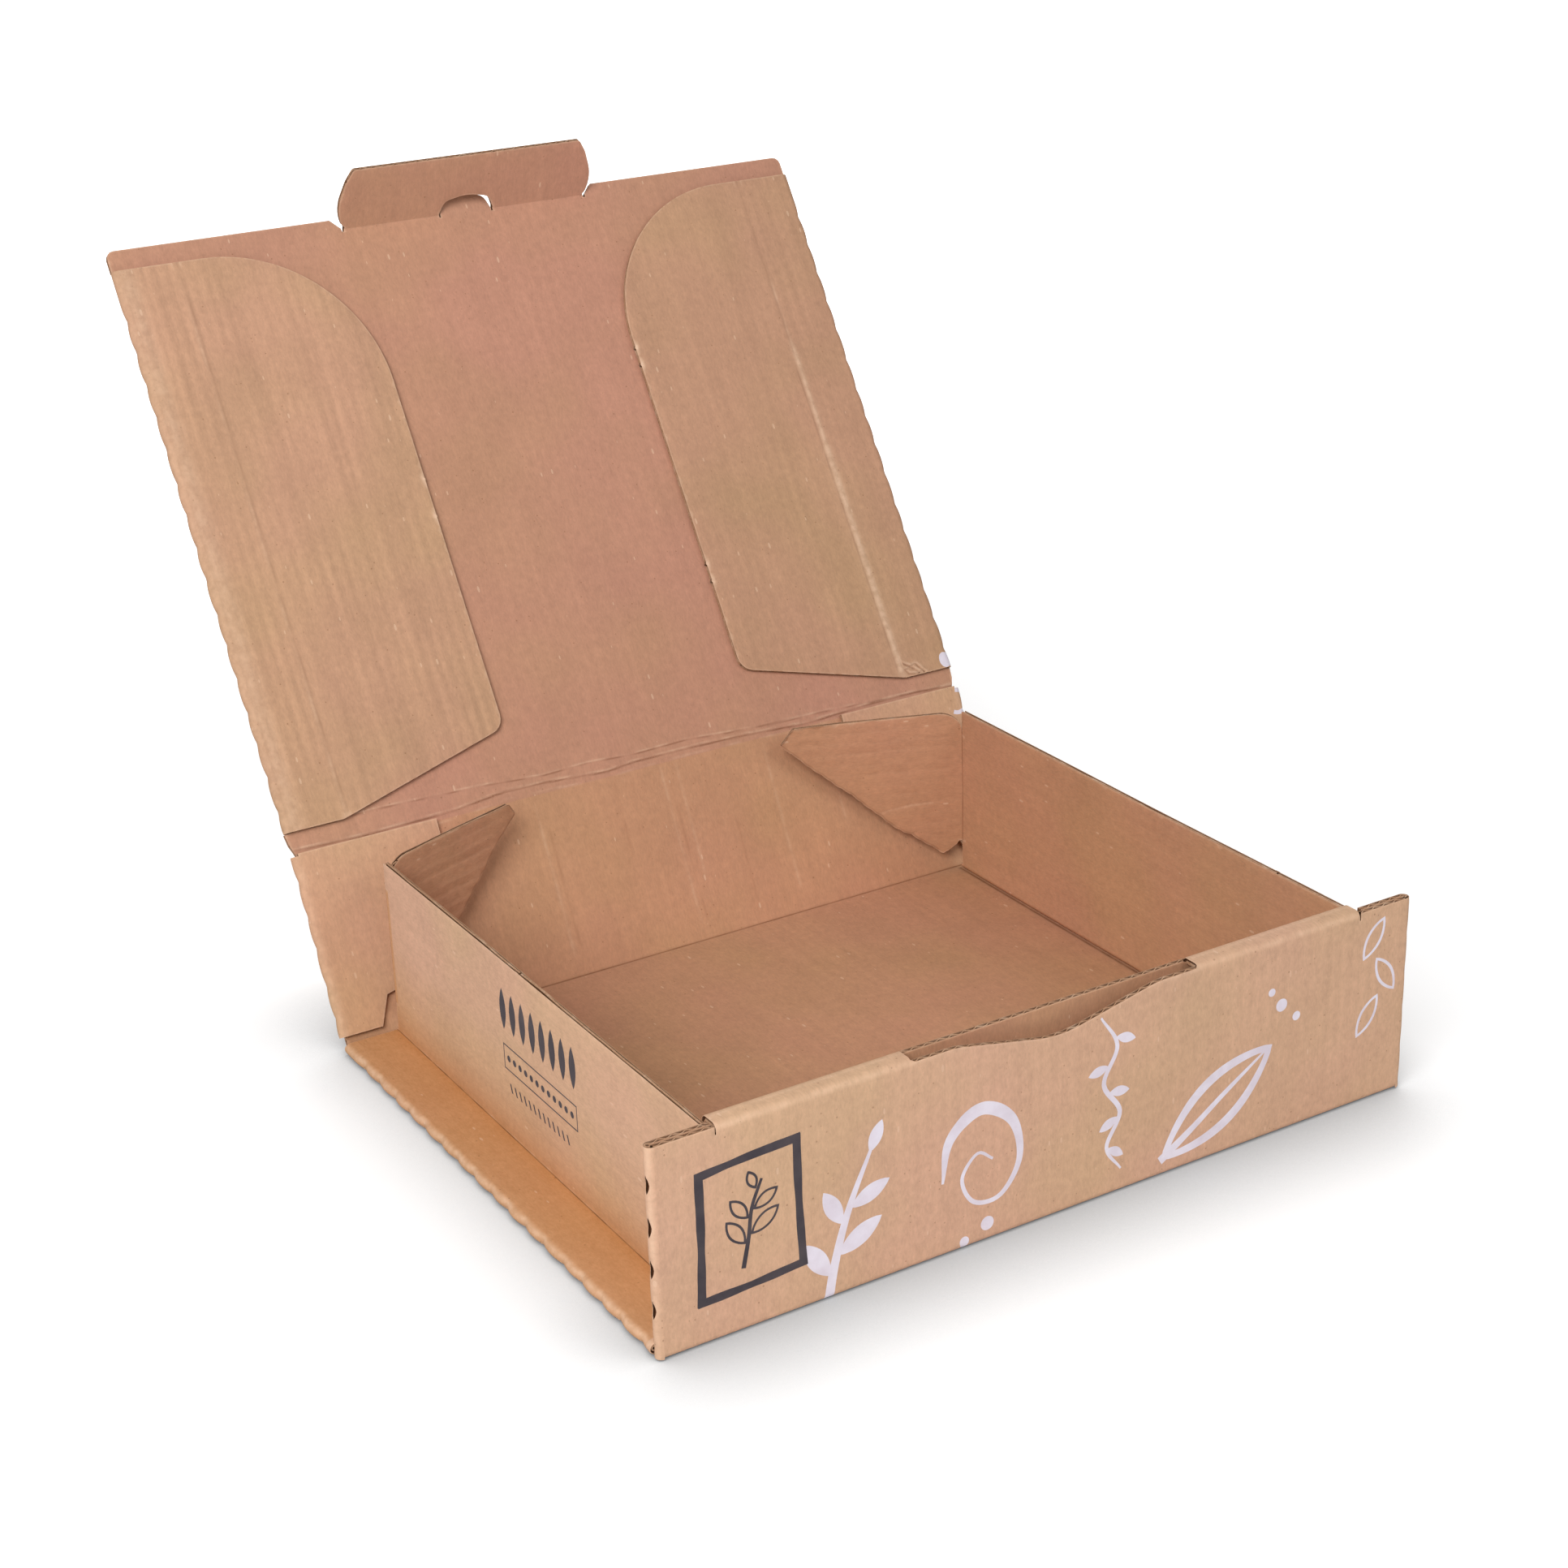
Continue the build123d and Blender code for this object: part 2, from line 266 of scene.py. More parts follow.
def inside(points, loops):
    hit = np.zeros(len(points), bool)
    for loop in loops:
        for (x0, y0), (x1, y1) in zip(loop, np.roll(loop, -1, axis=0)):
            if y0 != y1:
                crosses = (points[:, 1] < y0) != (points[:, 1] < y1)
                hit ^= crosses & (points[:, 0] < x0 + (points[:, 1] - y0) / (y1 - y0) * (x1 - x0))
    return hit


def distance(points, loops):
    """How far the points are from the nearest edge of the loops."""
    nearest = np.full(len(points), 1e9)
    for loop in loops:
        for a, b in zip(loop, np.roll(loop, -1, axis=0)):
            d = b - a
            t = np.clip((points - a) @ d / max(d @ d, 1e-12), 0, 1)
            nearest = np.minimum(nearest, np.linalg.norm(points - a - t[:, None] * d, axis=1))
    return nearest


class Crease:
    """A line in one face of a panel where the board is dented, its paper paler or darker: rubbed paper and
    crushed lines, and also painted highlights along folds and painted shade in creases, gaps and hollows.

    side is 1 for the inner face and -1 for the outer one. broken is how much of it fades out here and there.
    """

    def __init__(self, points, width, dent=0.0, worn=0.0, dark=0.0, side=1, seed=0, broken=0.0):
        self.points = np.array(points, float)
        self.width, self.dent, self.worn, self.dark = width, dent, worn, dark
        self.side, self.broken = side, broken
        self.gaps = wobble(seed, 16)

    def strength(self, p, q):
        here = np.column_stack([p, q])
        near, along, run = np.full(len(p), 1e9), np.zeros(len(p)), 0.0
        for a, b in zip(self.points, self.points[1:]):
            size = np.linalg.norm(b - a)
            t = np.clip((here - a) @ (b - a) / size ** 2, 0, 1)
            gap = np.linalg.norm(here - a - t[:, None] * (b - a), axis=1)
            along = np.where(gap < near, run + t * size, along)
            near = np.minimum(near, gap)
            run += size
        ends = np.clip(np.minimum(along, run - along) / 4, 0, 1)
        kept = 1 - self.broken * np.clip(0.5 + 0.8 * self.gaps(along), 0, 1)
        return ends * kept * np.exp(-(near / self.width) ** 2)

    def nearby(self):
        """Points along the line and beside it, so that a mesh can follow it."""
        found = []
        for a, b in zip(self.points, self.points[1:]):
            size = np.linalg.norm(b - a)
            count = max(1, int(size / 1.4))
            at = a + (b - a) * (np.arange(count)[:, None] + 0.5) / count
            side = np.array([a[1] - b[1], b[0] - a[0]]) / size
            found += [at + k * self.width * side for k in (-1.6, -0.8, 0, 0.8, 1.6)]
        return np.vstack(found)


def crease_along(p, low, high, width, **looks):
    """A crease that runs with the flutes."""
    return Crease([(p, low), (p, high)], width, **looks)


def crease_across(q, reach, width, **looks):
    """A crease that runs across the flutes, as far on both sides."""
    return Crease([(-reach, q), (reach, q)], width, **looks)


def triangulated(loops, along, row_gap, rows_p, rows_q, prints, creases):
    """A panel's flat points and triangles, which follow its edges, folds, prints and creases."""
    low, high = loops[0].min(axis=0), loops[0].max(axis=0)
    ps = np.arange(math.ceil(low[0] / STEP) * STEP, high[0], STEP)
    qs = np.arange(math.ceil(low[1] / along) * along, high[1], along)
    grid = np.array([(p, q) for q in qs for p in ps]).reshape(-1, 2)
    grid = grid[inside(grid, loops)]
    grid = grid[distance(grid, loops) > RIM + 0.5]
    more = [crease.nearby() for crease in creases]
    for loop in loops:
        sideways = RIM * left_normals(np.roll(loop, -1, axis=0) - np.roll(loop, 1, axis=0))
        more += [loop + sideways, loop - sideways]
    more = np.vstack(more)
    more = more[inside(more, loops)]
    more = more[distance(more, loops) > RIM - 0.15]
    grid = np.vstack([grid, more])
    for axis, rows in enumerate((rows_p, rows_q)):
        for row in rows:
            grid = grid[np.abs(grid[:, axis] - row) > ROW_ROOM]
    coords, edges = [], []

    def chain(points, closed=False):
        first = len(coords)
        coords.extend((float(p), float(q)) for p, q in points)
        edges.extend((first + k, first + k + 1) for k in range(len(points) - 1))
        if closed:
            edges.append((first + len(points) - 1, first))

    for loop in loops:
        chain(loop, True)
    for row in rows_q:
        chain([(p, row) for p in np.arange(low[0] - STEP, high[0] + STEP, STEP)])
    for row in rows_p:
        chain([(row, q) for q in np.arange(low[1] - row_gap, high[1] + row_gap, row_gap)])
    for _, shape in prints:
        chain(shape, True)
    coords.extend((float(p), float(q)) for p, q in grid)
    flat, _, tris, *_ = delaunay_2d_cdt([Vector(c) for c in coords], edges, [], 0, 1e-4, False)
    flat, tris = np.array([tuple(c) for c in flat]), np.array([tuple(t) for t in tris])
    a, b, c = (flat[tris[:, k]] for k in range(3))
    area = (b[:, 0] - a[:, 0]) * (c[:, 1] - a[:, 1]) - (b[:, 1] - a[:, 1]) * (c[:, 0] - a[:, 0])
    kept = inside(flat[tris].mean(axis=1), loops) & (np.abs(area) > 1e-7)
    tris, area = tris[kept], area[kept]
    tris[area < 0] = tris[area < 0][:, ::-1]
    used, tris = np.unique(tris, return_inverse=True)
    return flat[used], tris.reshape(-1, 3)


def added(name, data):
    """A new object in the scene."""
    found = bpy.data.objects.new(name, data)
    bpy.context.scene.collection.objects.link(found)
    return found


class Board:
    """One object made of corrugated board: panels with two faces, and cut edges that show the flutes."""

    def __init__(self):
        self.points, self.faces, self.marks, self.flat, self.looks = [], [], [], [], []
        self.count = 0

    def _add(self, flat, height, worn, dark=0.0, painted_warm_light=0.0):
        """Adds vertices at flat points and heights over the middle, and returns the first one's number."""
        first = self.count
        flip = np.array([-1 if self.mirror else 1, 1, 1])
        self.points.append(self.place(flat[:, 0], flat[:, 1], height) * flip)
        self.flat.append(flat)
        self.looks.append(np.column_stack([np.broadcast_to(v, len(flat)) for v in (worn, dark, painted_warm_light)]))
        self.count += len(flat)
        return first

    def _face(self, corners, mark):
        self.faces.append(tuple(reversed(corners)) if self.mirror else tuple(corners))
        self.marks.append(mark)

    def sheet(self, loops, place, relief=None, rows_p=(), rows_q=(), prints=(), seams=(), mirror=False,
              creases=(), along=9.0, row_gap=4.0, painted_warm_light=None):
        """A panel, from its outline and holes in the flat sheet.

        place turns flat points and a height over the middle line into points of the box. relief gives how far
        the middle and the two faces move, and warm how much painted orange light the outer face has, standing
        for light bounced into a corner or caught on a fold. rows_p and rows_q are where the board folds.
        seams tell which edges
        carry on in another piece: an axis, the place on it, and the range along the other. along and row_gap
        are the mesh's steps along the flutes and the folds.
        """
        self.place, self.mirror = place, mirror
        loops = [densified(loop) for loop in loops]
        prints = [(mark, np.array(shape, float)) for mark, shape in prints]
        flat, tris = triangulated(loops, along, row_gap, rows_p, rows_q, prints, creases)
        p, q = flat[:, 0], flat[:, 1]
        middle = relief(p, q) if relief else 0 * p
        faces = {side: {"height": side * HALF + middle, "worn": 0 * p, "dark": 0 * p} for side in (1, -1)}
        for crease in creases:
            strength = crease.strength(p, q)
            face = faces[crease.side]
            face["height"] = face["height"] - crease.side * crease.dent * strength
            face["worn"] = np.maximum(face["worn"], crease.worn * strength)
            face["dark"] = np.maximum(face["dark"], crease.dark * strength)

        # The edges of the triangles that no second triangle shares are the sheet's own edges
        sides = {}
        for triangle in tris.tolist():
            for i, j in zip(triangle, triangle[1:] + triangle[:1]):
                if not sides.pop((j, i), False):
                    sides[i, j] = True
        after = dict(sides.keys())
        before = {j: i for i, j in sides}

        def is_seam(i, j):
            a, b = flat[i], flat[j]
            for axis, value, low, high in seams:
                ends = sorted((a[1 - axis], b[1 - axis]))
                if max(abs(a[axis] - value), abs(b[axis] - value)) < SEAM_ROOM and (
                    low - SEAM_ROOM <= ends[0] and ends[1] <= high + SEAM_ROOM
                ):
                    return True
            return False

        seam = {side: is_seam(*side) for side in sides}
        depth = {}
        for i, j in sides:
            dp, dq = np.abs(flat[j] - flat[i])
            depth[i, j] = 0.0 if seam[i, j] else OPEN_FLUTES if dp > 0.5 * dq else CLOSED_FLUTES
        near_rim, crush, ringed = 0 * p, 0 * p, []
        for i in after:
            joined = seam[i, after[i]], seam[before[i], i]
            if not all(joined):
                near_rim[i] = RIM_WEAR
                ringed.append(i)
            if not any(joined):
                crush[i] = CRUSH
        painted_warmth = painted_warm_light(p, q) if painted_warm_light else 0 * p
        top, low = (
            self._add(flat, face["height"] - side * crush, np.maximum(near_rim, face["worn"]), face["dark"],
                      painted_warmth * (side < 0))
            for side, face in faces.items()
        )
        on_outer = np.full(len(tris), OUTER)
        for mark, shape in prints:
            on_outer[inside(flat[tris].mean(axis=1), [shape])] = mark
        for triangle, mark in zip(tris.tolist(), on_outer.tolist()):
            self._face([top + k for k in triangle], INNER)
            self._face([low + k for k in reversed(triangle)], mark)

        def inward(i):
            """How far and which way the groove goes in at a rim vertex."""
            a, b = before[i], after[i]
            normals = left_normals(np.array([flat[i] - flat[a], flat[b] - flat[i]]))
            depths = np.array([depth[a, i], depth[i, b]])
            if abs(np.linalg.det(normals)) > 0.2:
                shift = np.linalg.solve(normals, depths)
            else:
                normal = normals.sum(axis=0)
                shift = normal / max(np.linalg.norm(normal), 1e-6) * depths.mean()
            return shift * min(1.0, GROOVE_REACH / max(np.linalg.norm(shift), 1e-6))

        here, mid = flat[ringed], middle[ringed]
        within = here + np.array([inward(i) for i in ringed]).reshape(-1, 2)
        # The groove's points, painted a little darker at its mouth and fully dark at its bottom: painted
        # shade inside the cut edge
        levels = (here, -CORE, 0.25), (within, -CORE, 1), (within, CORE, 1), (here, CORE, 0.25)
        firsts = [self._add(at, mid + height, 1.0, dark) for at, height, dark in levels]
        rings = {i: [first + k for first in firsts] for k, i in enumerate(ringed)}
        for i, j in sides:
            one, two = ([low + k] + rings.get(k, []) + [top + k] for k in (i, j))
            if seam[i, j]:
                self._face(one[:1] + two + one[:0:-1], CUT)
            else:
                for corners in zip(one, two, two[1:], one[1:]):
                    self._face(corners, CUT)
        for kind in (OPEN_FLUTES, CLOSED_FLUTES):
            self._ribbons(kind, flat, middle, after, before, depth)

    def _ribbons(self, kind, flat, middle, after, before, depth):
        """The fluted paper between the liners, in edges that are cut across the flutes or along them."""
        spacing, thick, set_in = RIBBONS[kind]
        found = [i for i in after if depth[i, after[i]] == kind]
        of_kind = set(found)
        for start in sorted(i for i in found if before[i] not in of_kind):
            line, i = [start], start
            while i in of_kind and after[i] != start:
                i = after[i]
                line.append(i)
            length = lengths_along(flat[line])
            if length[-1] < SHORTEST_EDGE:
                continue
            run = np.linspace(0.5, length[-1] - 0.5, max(3, int(length[-1] / spacing)))
            at = sampled(flat[line], run)
            mid = np.interp(run, length, middle[line])
            normal = left_normals(np.gradient(at, axis=0))
            if kind == OPEN_FLUTES:
                wave = (CORE - thick) * np.cos(2 * math.pi * at[:, 0] / FLUTE)
            else:
                wave = 0.3 + 0.2 * wobble(5, 40)(at[:, 0] + at[:, 1])
            outer, deep = at + set_in * normal, at + (kind - 0.05) * normal
            # The fluted paper's deep end is painted dark: painted shade inside the edge
            firsts = [
                self._add(edge, mid + wave + side * thick, 1.0, dark)
                for edge, side, dark in ((outer, -1, 0.1), (outer, 1, 0.1), (deep, 1, 1.0), (deep, -1, 1.0))
            ]
            for k in range(len(run) - 1):
                for one, two in zip(firsts, firsts[1:] + firsts[:1]):
                    self._face([one + k, one + k + 1, two + k + 1, two + k], CUT)
            self._face(firsts, CUT)
            self._face([first + len(run) - 1 for first in reversed(firsts)], CUT)

    def object(self, name, materials):
        mesh = bpy.data.meshes.new(name)
        mesh.from_pydata((np.concatenate(self.points) * MM).tolist(), [], self.faces)
        for material in materials:
            mesh.materials.append(material)
        mesh.polygons.foreach_set("material_index", self.marks)
        flat = np.concatenate(self.flat) * MM
        corner = np.zeros(len(mesh.loops), np.int32)
        mesh.loops.foreach_get("vertex_index", corner)
        mesh.uv_layers.new(name="flat").data.foreach_set("uv", flat[corner].astype(np.float32).ravel())
        looks = np.vstack(self.looks).astype(np.float32)
        for number, look in enumerate(("pale_wear_and_highlight", "pressed_and_shade", "painted_warm_light")):
            attribute = mesh.attributes.new(look, "FLOAT", "POINT")
            attribute.data.foreach_set("value", looks[:, number].copy())
        mesh.polygons.foreach_set("use_smooth", [True] * len(mesh.polygons))
        mesh.set_sharp_from_angle(angle=math.radians(38))
        mesh.update()
        return added(name, mesh)


# Materials

def srgb(r, g, b):
    """A colour written as on a screen, 0 to 255, as Blender's linear colour."""
    def linear(v):
        v /= 255
        return v / 12.92 if v <= 0.04045 else ((v + 0.055) / 1.055) ** 2.4
    return (linear(r), linear(g), linear(b), 1.0)


class Nodes:
    """Short calls for building a material's nodes."""

    def __init__(self, name):
        self.material = bpy.data.materials.new(name)
        self.material.use_nodes = True
        self.tree = self.material.node_tree
        self.shader = self.tree.nodes["Principled BSDF"]
        self.solid = self.add("ShaderNodeTexCoord").outputs["Object"]

    def add(self, kind, inputs=(), **settings):
        node = self.tree.nodes.new(kind)
        for key, value in settings.items():
            setattr(node, key, value)
        for key, value in dict(inputs).items():
            if isinstance(value, bpy.types.NodeSocket):
                self.tree.links.new(value, node.inputs[key])
            else:
                node.inputs[key].default_value = value
        return node

    def math(self, operation, a, b=0.0, c=0.0, clamp=False):
        return self.add("ShaderNodeMath", {0: a, 1: b, 2: c}, operation=operation, use_clamp=clamp).outputs[0]

    def mix(self, share, a, b, blend="MIX"):
        inputs = {0: share, 6: a, 7: b}
        return self.add("ShaderNodeMix", inputs, data_type="RGBA", blend_type=blend).outputs[2]

    def ramp(self, value, low, high, to_low=0.0, to_high=1.0):
        return self.add("ShaderNodeMapRange", {0: value, 1: low, 2: high, 3: to_low, 4: to_high}).outputs[0]

    def noise(self, vector, scale, detail=3.0, roughness=0.55, distortion=0.0):
        settings = {"Vector": vector, "Scale": scale, "Detail": detail, "Roughness": roughness,
                    "Distortion": distortion}
        return self.add("ShaderNodeTexNoise", settings).outputs["Fac"]

    def flat(self):
        return self.add("ShaderNodeUVMap", uv_map="flat").outputs[0]

    def stretched(self, share):
        """Places in the flat sheet for marks that are longer along the flutes."""
        return self.add("ShaderNodeMapping", {0: self.flat(), 3: (1.0, share, 1.0)}).outputs[0]

    def attribute(self, name):
        return self.add("ShaderNodeAttribute", attribute_name=name).outputs["Fac"]

    def finish(self, colour, roughness, specular, height, strength, distance):
        """Joins the colour and the bump to the shader."""
        self.tree.links.new(colour, self.shader.inputs["Base Color"])
        self.shader.inputs["Roughness"].default_value = roughness
        self.shader.inputs["Specular IOR Level"].default_value = specular
        bump = self.add("ShaderNodeBump", {"Height": height, "Strength": strength, "Distance": distance})
        self.tree.links.new(bump.outputs[0], self.shader.inputs["Normal"])
        return self.material


def paper(name, colour, streak, washboard):
    """Brown paper on the board: even, with fine fibres and a few flecks. The flutes show faintly, as bump and
    as painted light and shade stripes in the colour.
    """
    n = Nodes(name)
    grain_way = n.stretched(0.35)
    clouds = n.noise(n.solid, 28.0, 2.0, 0.5)
    blotch = n.noise(n.solid, 240.0, 3.0, 0.6)
    streaks = n.noise(n.stretched(0.045), 130.0, 3.0, 0.6)
    fibres = n.noise(grain_way, 900.0, 4.0, 0.75, 0.5)
    grit = n.noise(n.solid, 2600.0, 2.0, 0.6)
    across = n.add("ShaderNodeSeparateXYZ", {0: n.flat()}).outputs[0]
    shake = n.math("MULTIPLY", n.math("SUBTRACT", streaks, 0.5), 0.002)
    flute = n.math("COSINE", n.math("MULTIPLY", n.math("ADD", across, shake), 2 * math.pi / (FLUTE * MM)))
    board = n.math("MULTIPLY", flute, n.ramp(clouds, 0.4, 0.62, 0.15, 1.0))

    # One share between a darker and a lighter shade of the paper
    share = 0.5
    for part, weight in ((fibres, 1.5), (blotch, 0.8), (clouds, 0.55), (streaks, streak)):
        share = n.math("MULTIPLY_ADD", n.math("SUBTRACT", part, 0.5), weight, share)
    # Painted light and shade stripes along the flutes
    share = n.math("MULTIPLY_ADD", board, washboard, share, clamp=True)
    dark, light = ([part * factor for part in colour[:3]] + [1.0] for factor in (0.84, 1.15))
    hue = n.ramp(n.noise(n.solid, 11.0, 2.0, 0.5), 0.36, 0.64)
    hue = n.mix(hue, (1.02, 0.985, 1.01, 1), (0.98, 1.01, 0.945, 1))
    shade = n.mix(1.0, n.mix(share, dark, light), hue, "MULTIPLY")
    # Painted orange light, standing for light bounced into the corner between ledge and wall and caught on
    # the round of a fold
    shade = n.mix(n.attribute("painted_warm_light"), shade, n.mix(share, srgb(184, 126, 72), srgb(204, 146, 94)))

    # Dark and pale flecks: where, how many to the metre, by which random channel, from which value of it,
    # how large, how strong and in which colour
    for way, scale, channel, fewest, largest, cover, tint in (
        (n.solid, 400.0, 0, 0.8, 0.19, 0.45, srgb(132, 90, 60)),
        (grain_way, 260.0, 1, 0.7, 0.17, 0.4, srgb(228, 196, 168)),
    ):
        cells = n.add("ShaderNodeTexVoronoi", {"Vector": way, "Scale": scale})
        size = n.add("ShaderNodeSeparateColor", {0: cells.outputs["Color"]}).outputs[channel]
        fleck = n.math("LESS_THAN", cells.outputs["Distance"], n.ramp(size, fewest, 1.0, 0.0, largest))
        shade = n.mix(n.math("MULTIPLY", fleck, cover), shade, tint)
    # Pale rubbed paper and painted highlights along fold edges; dark crushed lines and painted shade in
    # creases, gaps, grooves and hollows
    for look, pattern, ramp, tint in (
        ("pale_wear_and_highlight", blotch, (0.38, 0.6, 0.45, 0.85), srgb(226, 191, 162)),
        ("pressed_and_shade", fibres, (0.35, 0.6, 0.7, 1.0), srgb(112, 68, 42)),
    ):
        shade = n.mix(n.math("MULTIPLY", n.attribute(look), n.ramp(pattern, *ramp), clamp=True), shade, tint)
    height = n.math("MULTIPLY_ADD", fibres, 0.4, n.math("MULTIPLY", grit, 0.3))
    height = n.math("MULTIPLY_ADD", board, 0.12 * washboard, height)
    return n.finish(shade, 0.88, 0.15, height, 0.3, 0.0003)


def cut_edge(name, colour, light, dark):
    """Cut edge of the board: torn paper fibres, with painted shade in the hollows between the liners."""
    n = Nodes(name)
    fibres = n.noise(n.solid, 1400.0, 4.0, 0.7)
    patches = n.noise(n.solid, 160.0, 2.0)
    shade = n.mix(n.ramp(fibres, 0.35, 0.68), dark, colour)
    shade = n.mix(n.ramp(patches, 0.5, 0.75, 0.0, 0.6), shade, light)
    # Painted shade deep in the open flutes
    shade = n.mix(n.attribute("pressed_and_shade"), shade, srgb(84, 50, 30))
    return n.finish(shade, 0.92, 0.2, fibres, 0.6, 0.0003)


def ink(name, colour, thin, bare, worn_from):
    """Ink printed on the brown paper, a little uneven and broken by fibres."""
    n = Nodes(name)
    fibres = n.noise(n.solid, 1700.0, 4.0, 0.7)
    clouds = n.noise(n.solid, 90.0, 3.0)
    streaks = n.noise(n.stretched(0.05), 150.0, 3.0)
    cover = n.math("ADD", n.math("MULTIPLY", fibres, 0.75), n.math("MULTIPLY", streaks, 0.25))
    shade = n.mix(n.ramp(clouds, 0.35, 0.7), colour, thin)
    shade = n.mix(n.ramp(cover, worn_from, worn_from + 0.1), shade, bare)
    return n.finish(shade, 0.7, 0.3, fibres, 0.25, 0.0002)


# The back, lid and wing papers are darker copies of the outer and inner paper: painted shade on the back
# wall, the lid and its wings, the right wing darkest of them. Their flute stripes are painted light and shade
# as well.
outer_paper = paper("outer_paper", srgb(205, 165, 137), 0.5, 0.06)
inner_paper = paper("inner_paper", srgb(190, 143, 112), 0.5, 0.05)
shaded_back_paper = paper("shaded_back_paper", srgb(198, 156, 126), 0.5, 0.06)
shaded_lid_paper = paper("shaded_lid_paper", srgb(187, 139, 115), 0.5, 0.05)
shaded_left_wing_paper = paper("shaded_left_wing_paper", srgb(190, 149, 120), 1.3, 0.16)
shaded_right_wing_paper = paper("shaded_right_wing_paper", srgb(187, 146, 117), 0.9, 0.08)
edge_paper = cut_edge("edge_paper", srgb(206, 166, 134), srgb(228, 198, 170), srgb(172, 128, 96))
white_ink = ink("white_ink", srgb(229, 222, 233), srgb(216, 205, 216), srgb(208, 172, 146), 0.66)
black_ink = ink("black_ink", srgb(60, 54, 60), srgb(76, 68, 72), srgb(140, 108, 86), 0.68)
OTHERS = [edge_paper, white_ink, black_ink]
MATERIALS = [outer_paper, inner_paper] + OTHERS
BACK_MATERIALS = [shaded_back_paper, inner_paper] + OTHERS
LID_MATERIALS = [shaded_back_paper, shaded_lid_paper] + OTHERS
WING_MATERIALS = [[shaded_right_wing_paper, shaded_lid_paper] + OTHERS, [shaded_left_wing_paper, shaded_lid_paper] + OTHERS]


def shown(board, body, node, materials=MATERIALS):
    """The finished panel, riding on its body and standing for its CAD node."""
    piece = board.object(body + "_board", materials)
    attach(piece, body)
    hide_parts(node)


def bent(board, name, materials=MATERIALS):
    """A crease between two bodies, made where it stands now."""
    piece = board.object(name, materials)
    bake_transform(piece)


def ripple(amount, seed):
    """How far a panel's middle moves, where the flutes show through as a faint washboard."""
    patchy = field(seed, 90)
    return lambda p, q: amount * (0.65 + 0.35 * patchy(p, q)) * np.cos(2 * math.pi * p / FLUTE)


# Folds along the flutes are perforated: they swell between the slits
PERFORATION = 17.5


def perforation(low, high, seed, cut=8.5):
    """Where the slits of a perforated fold are."""
    rng = np.random.default_rng(seed)
    spans, at = [], low + PERFORATION * 0.5
    while at + cut / 2 < high - 2:
        middle = at + rng.uniform(-1.0, 1.0)
        spans.append((middle - cut / 2, middle + cut / 2))
        at += PERFORATION
    return spans


def slits(p, spans, width):
    """Lens-shaped holes along a fold that lies at p."""
    found = []
    for low, high in spans:
        middle, half = (low + high) / 2, (high - low) / 2
        side = [(p + width * (1 - t * t), middle + half * t) for t in np.linspace(-1, 1, 7)]
        found.append(side + [(2 * p - x, q) for x, q in reversed(side[1:-1])])
    return found


def scallops(spans, swell, pinch, seed=0):
    """How far a perforated fold stands out: it swells between its slits and draws in at them."""
    middles = np.array([(a + b) / 2 for a, b in spans])
    sizes = np.random.default_rng(seed).uniform(0.6, 1.0, len(middles) + 1)

    def out(q):
        gap = np.abs(q[:, None] - middles[None]).min(axis=1)
        bump = 1 - (1 - np.clip(gap / (PERFORATION / 2), 0, 1)) ** 2.2
        return -pinch + (swell * sizes[np.searchsorted(middles, q)] + pinch) * bump

    return out


# Places for panels. A fold flat onto the next layer starts at p = 0, over the side fold.
FLAT_RADIUS = LAYER / 2
HALF_ROUND = math.pi * FLAT_RADIUS
FOLD_OUT = FLAT_RADIUS + HALF
SLIT_P = HALF_ROUND * 0.3
STRAIGHT = Path((0.0, 0.0), 0, 400.0)
FOLDED_OVER = Path((SIDE_FOLD_X, 0.0), 0, (180, FLAT_RADIUS), 400.0)


def fold_p(x):
    """Where a distance from the box's middle is in the flat sheet of a flap that is folded over."""
    return HALF_ROUND + SIDE_FOLD_X - x


def cross_place(foot, out, up_in, path=STRAIGHT):
    """Places a panel that spans the box: p is X, q and w follow the path in the plane of out and up_in."""
    def place(p, q, w):
        points, normals = path.at(q)
        at = points + normals * w[:, None]
        return np.column_stack([p, 0 * p, 0 * p]) + foot + at[:, :1] * out + at[:, 1:] * up_in
    return place


def round_fold(path, p, q, w, scallop):
    """X and height of a board that is folded over at the side, where its fold stands out in scallops."""
    points, normals = path.at(p)
    at = points + normals * w[:, None]
    over = np.maximum(at[:, 0] - SIDE_FOLD_X, 0)
    return at[:, 0] + over / FOLD_OUT * scallop(q), at[:, 1]


def folded_place(foot, out, up_in, scallop):
    """Places a side flap folded flat over a panel: p runs round the fold and back over the panel."""
    def place(p, q, w):
        x, up = round_fold(FOLDED_OVER, p, q, w, scallop)
        return np.column_stack([x, 0 * x, 0 * x]) + foot + q[:, None] * out + up[:, None] * up_in
    return place


# Tray: the base and the front roll-over in one sheet
front_path = Path(
    (INNER_Y, ROLL_FOOT_Z), 90,
    ROLL_TOP_Z - FOLD - ROLL_FOOT_Z, (90, FOLD), 5.0, (90, FOLD),
    ROLL_TOP_Z - FOLD - HALF - FOLD, (90, FOLD), 400.0,
)
_, INNER_FOLD, TOP_START, TOP_END, PANEL_START, _, BASE_START, _ = front_path.marks
PANEL_TOP_Z = ROLL_TOP_Z - FOLD
BASE_END = BASE_START + OUTER_Y - BACK_BAND - (FOLD - OUTER_Y)
WALL_FOOT_X = WALL_X - HALF + 0.5


def front_q(z):
    """Where a height on the outer front panel is in the flat sheet."""
    return PANEL_START + PANEL_TOP_Z - z


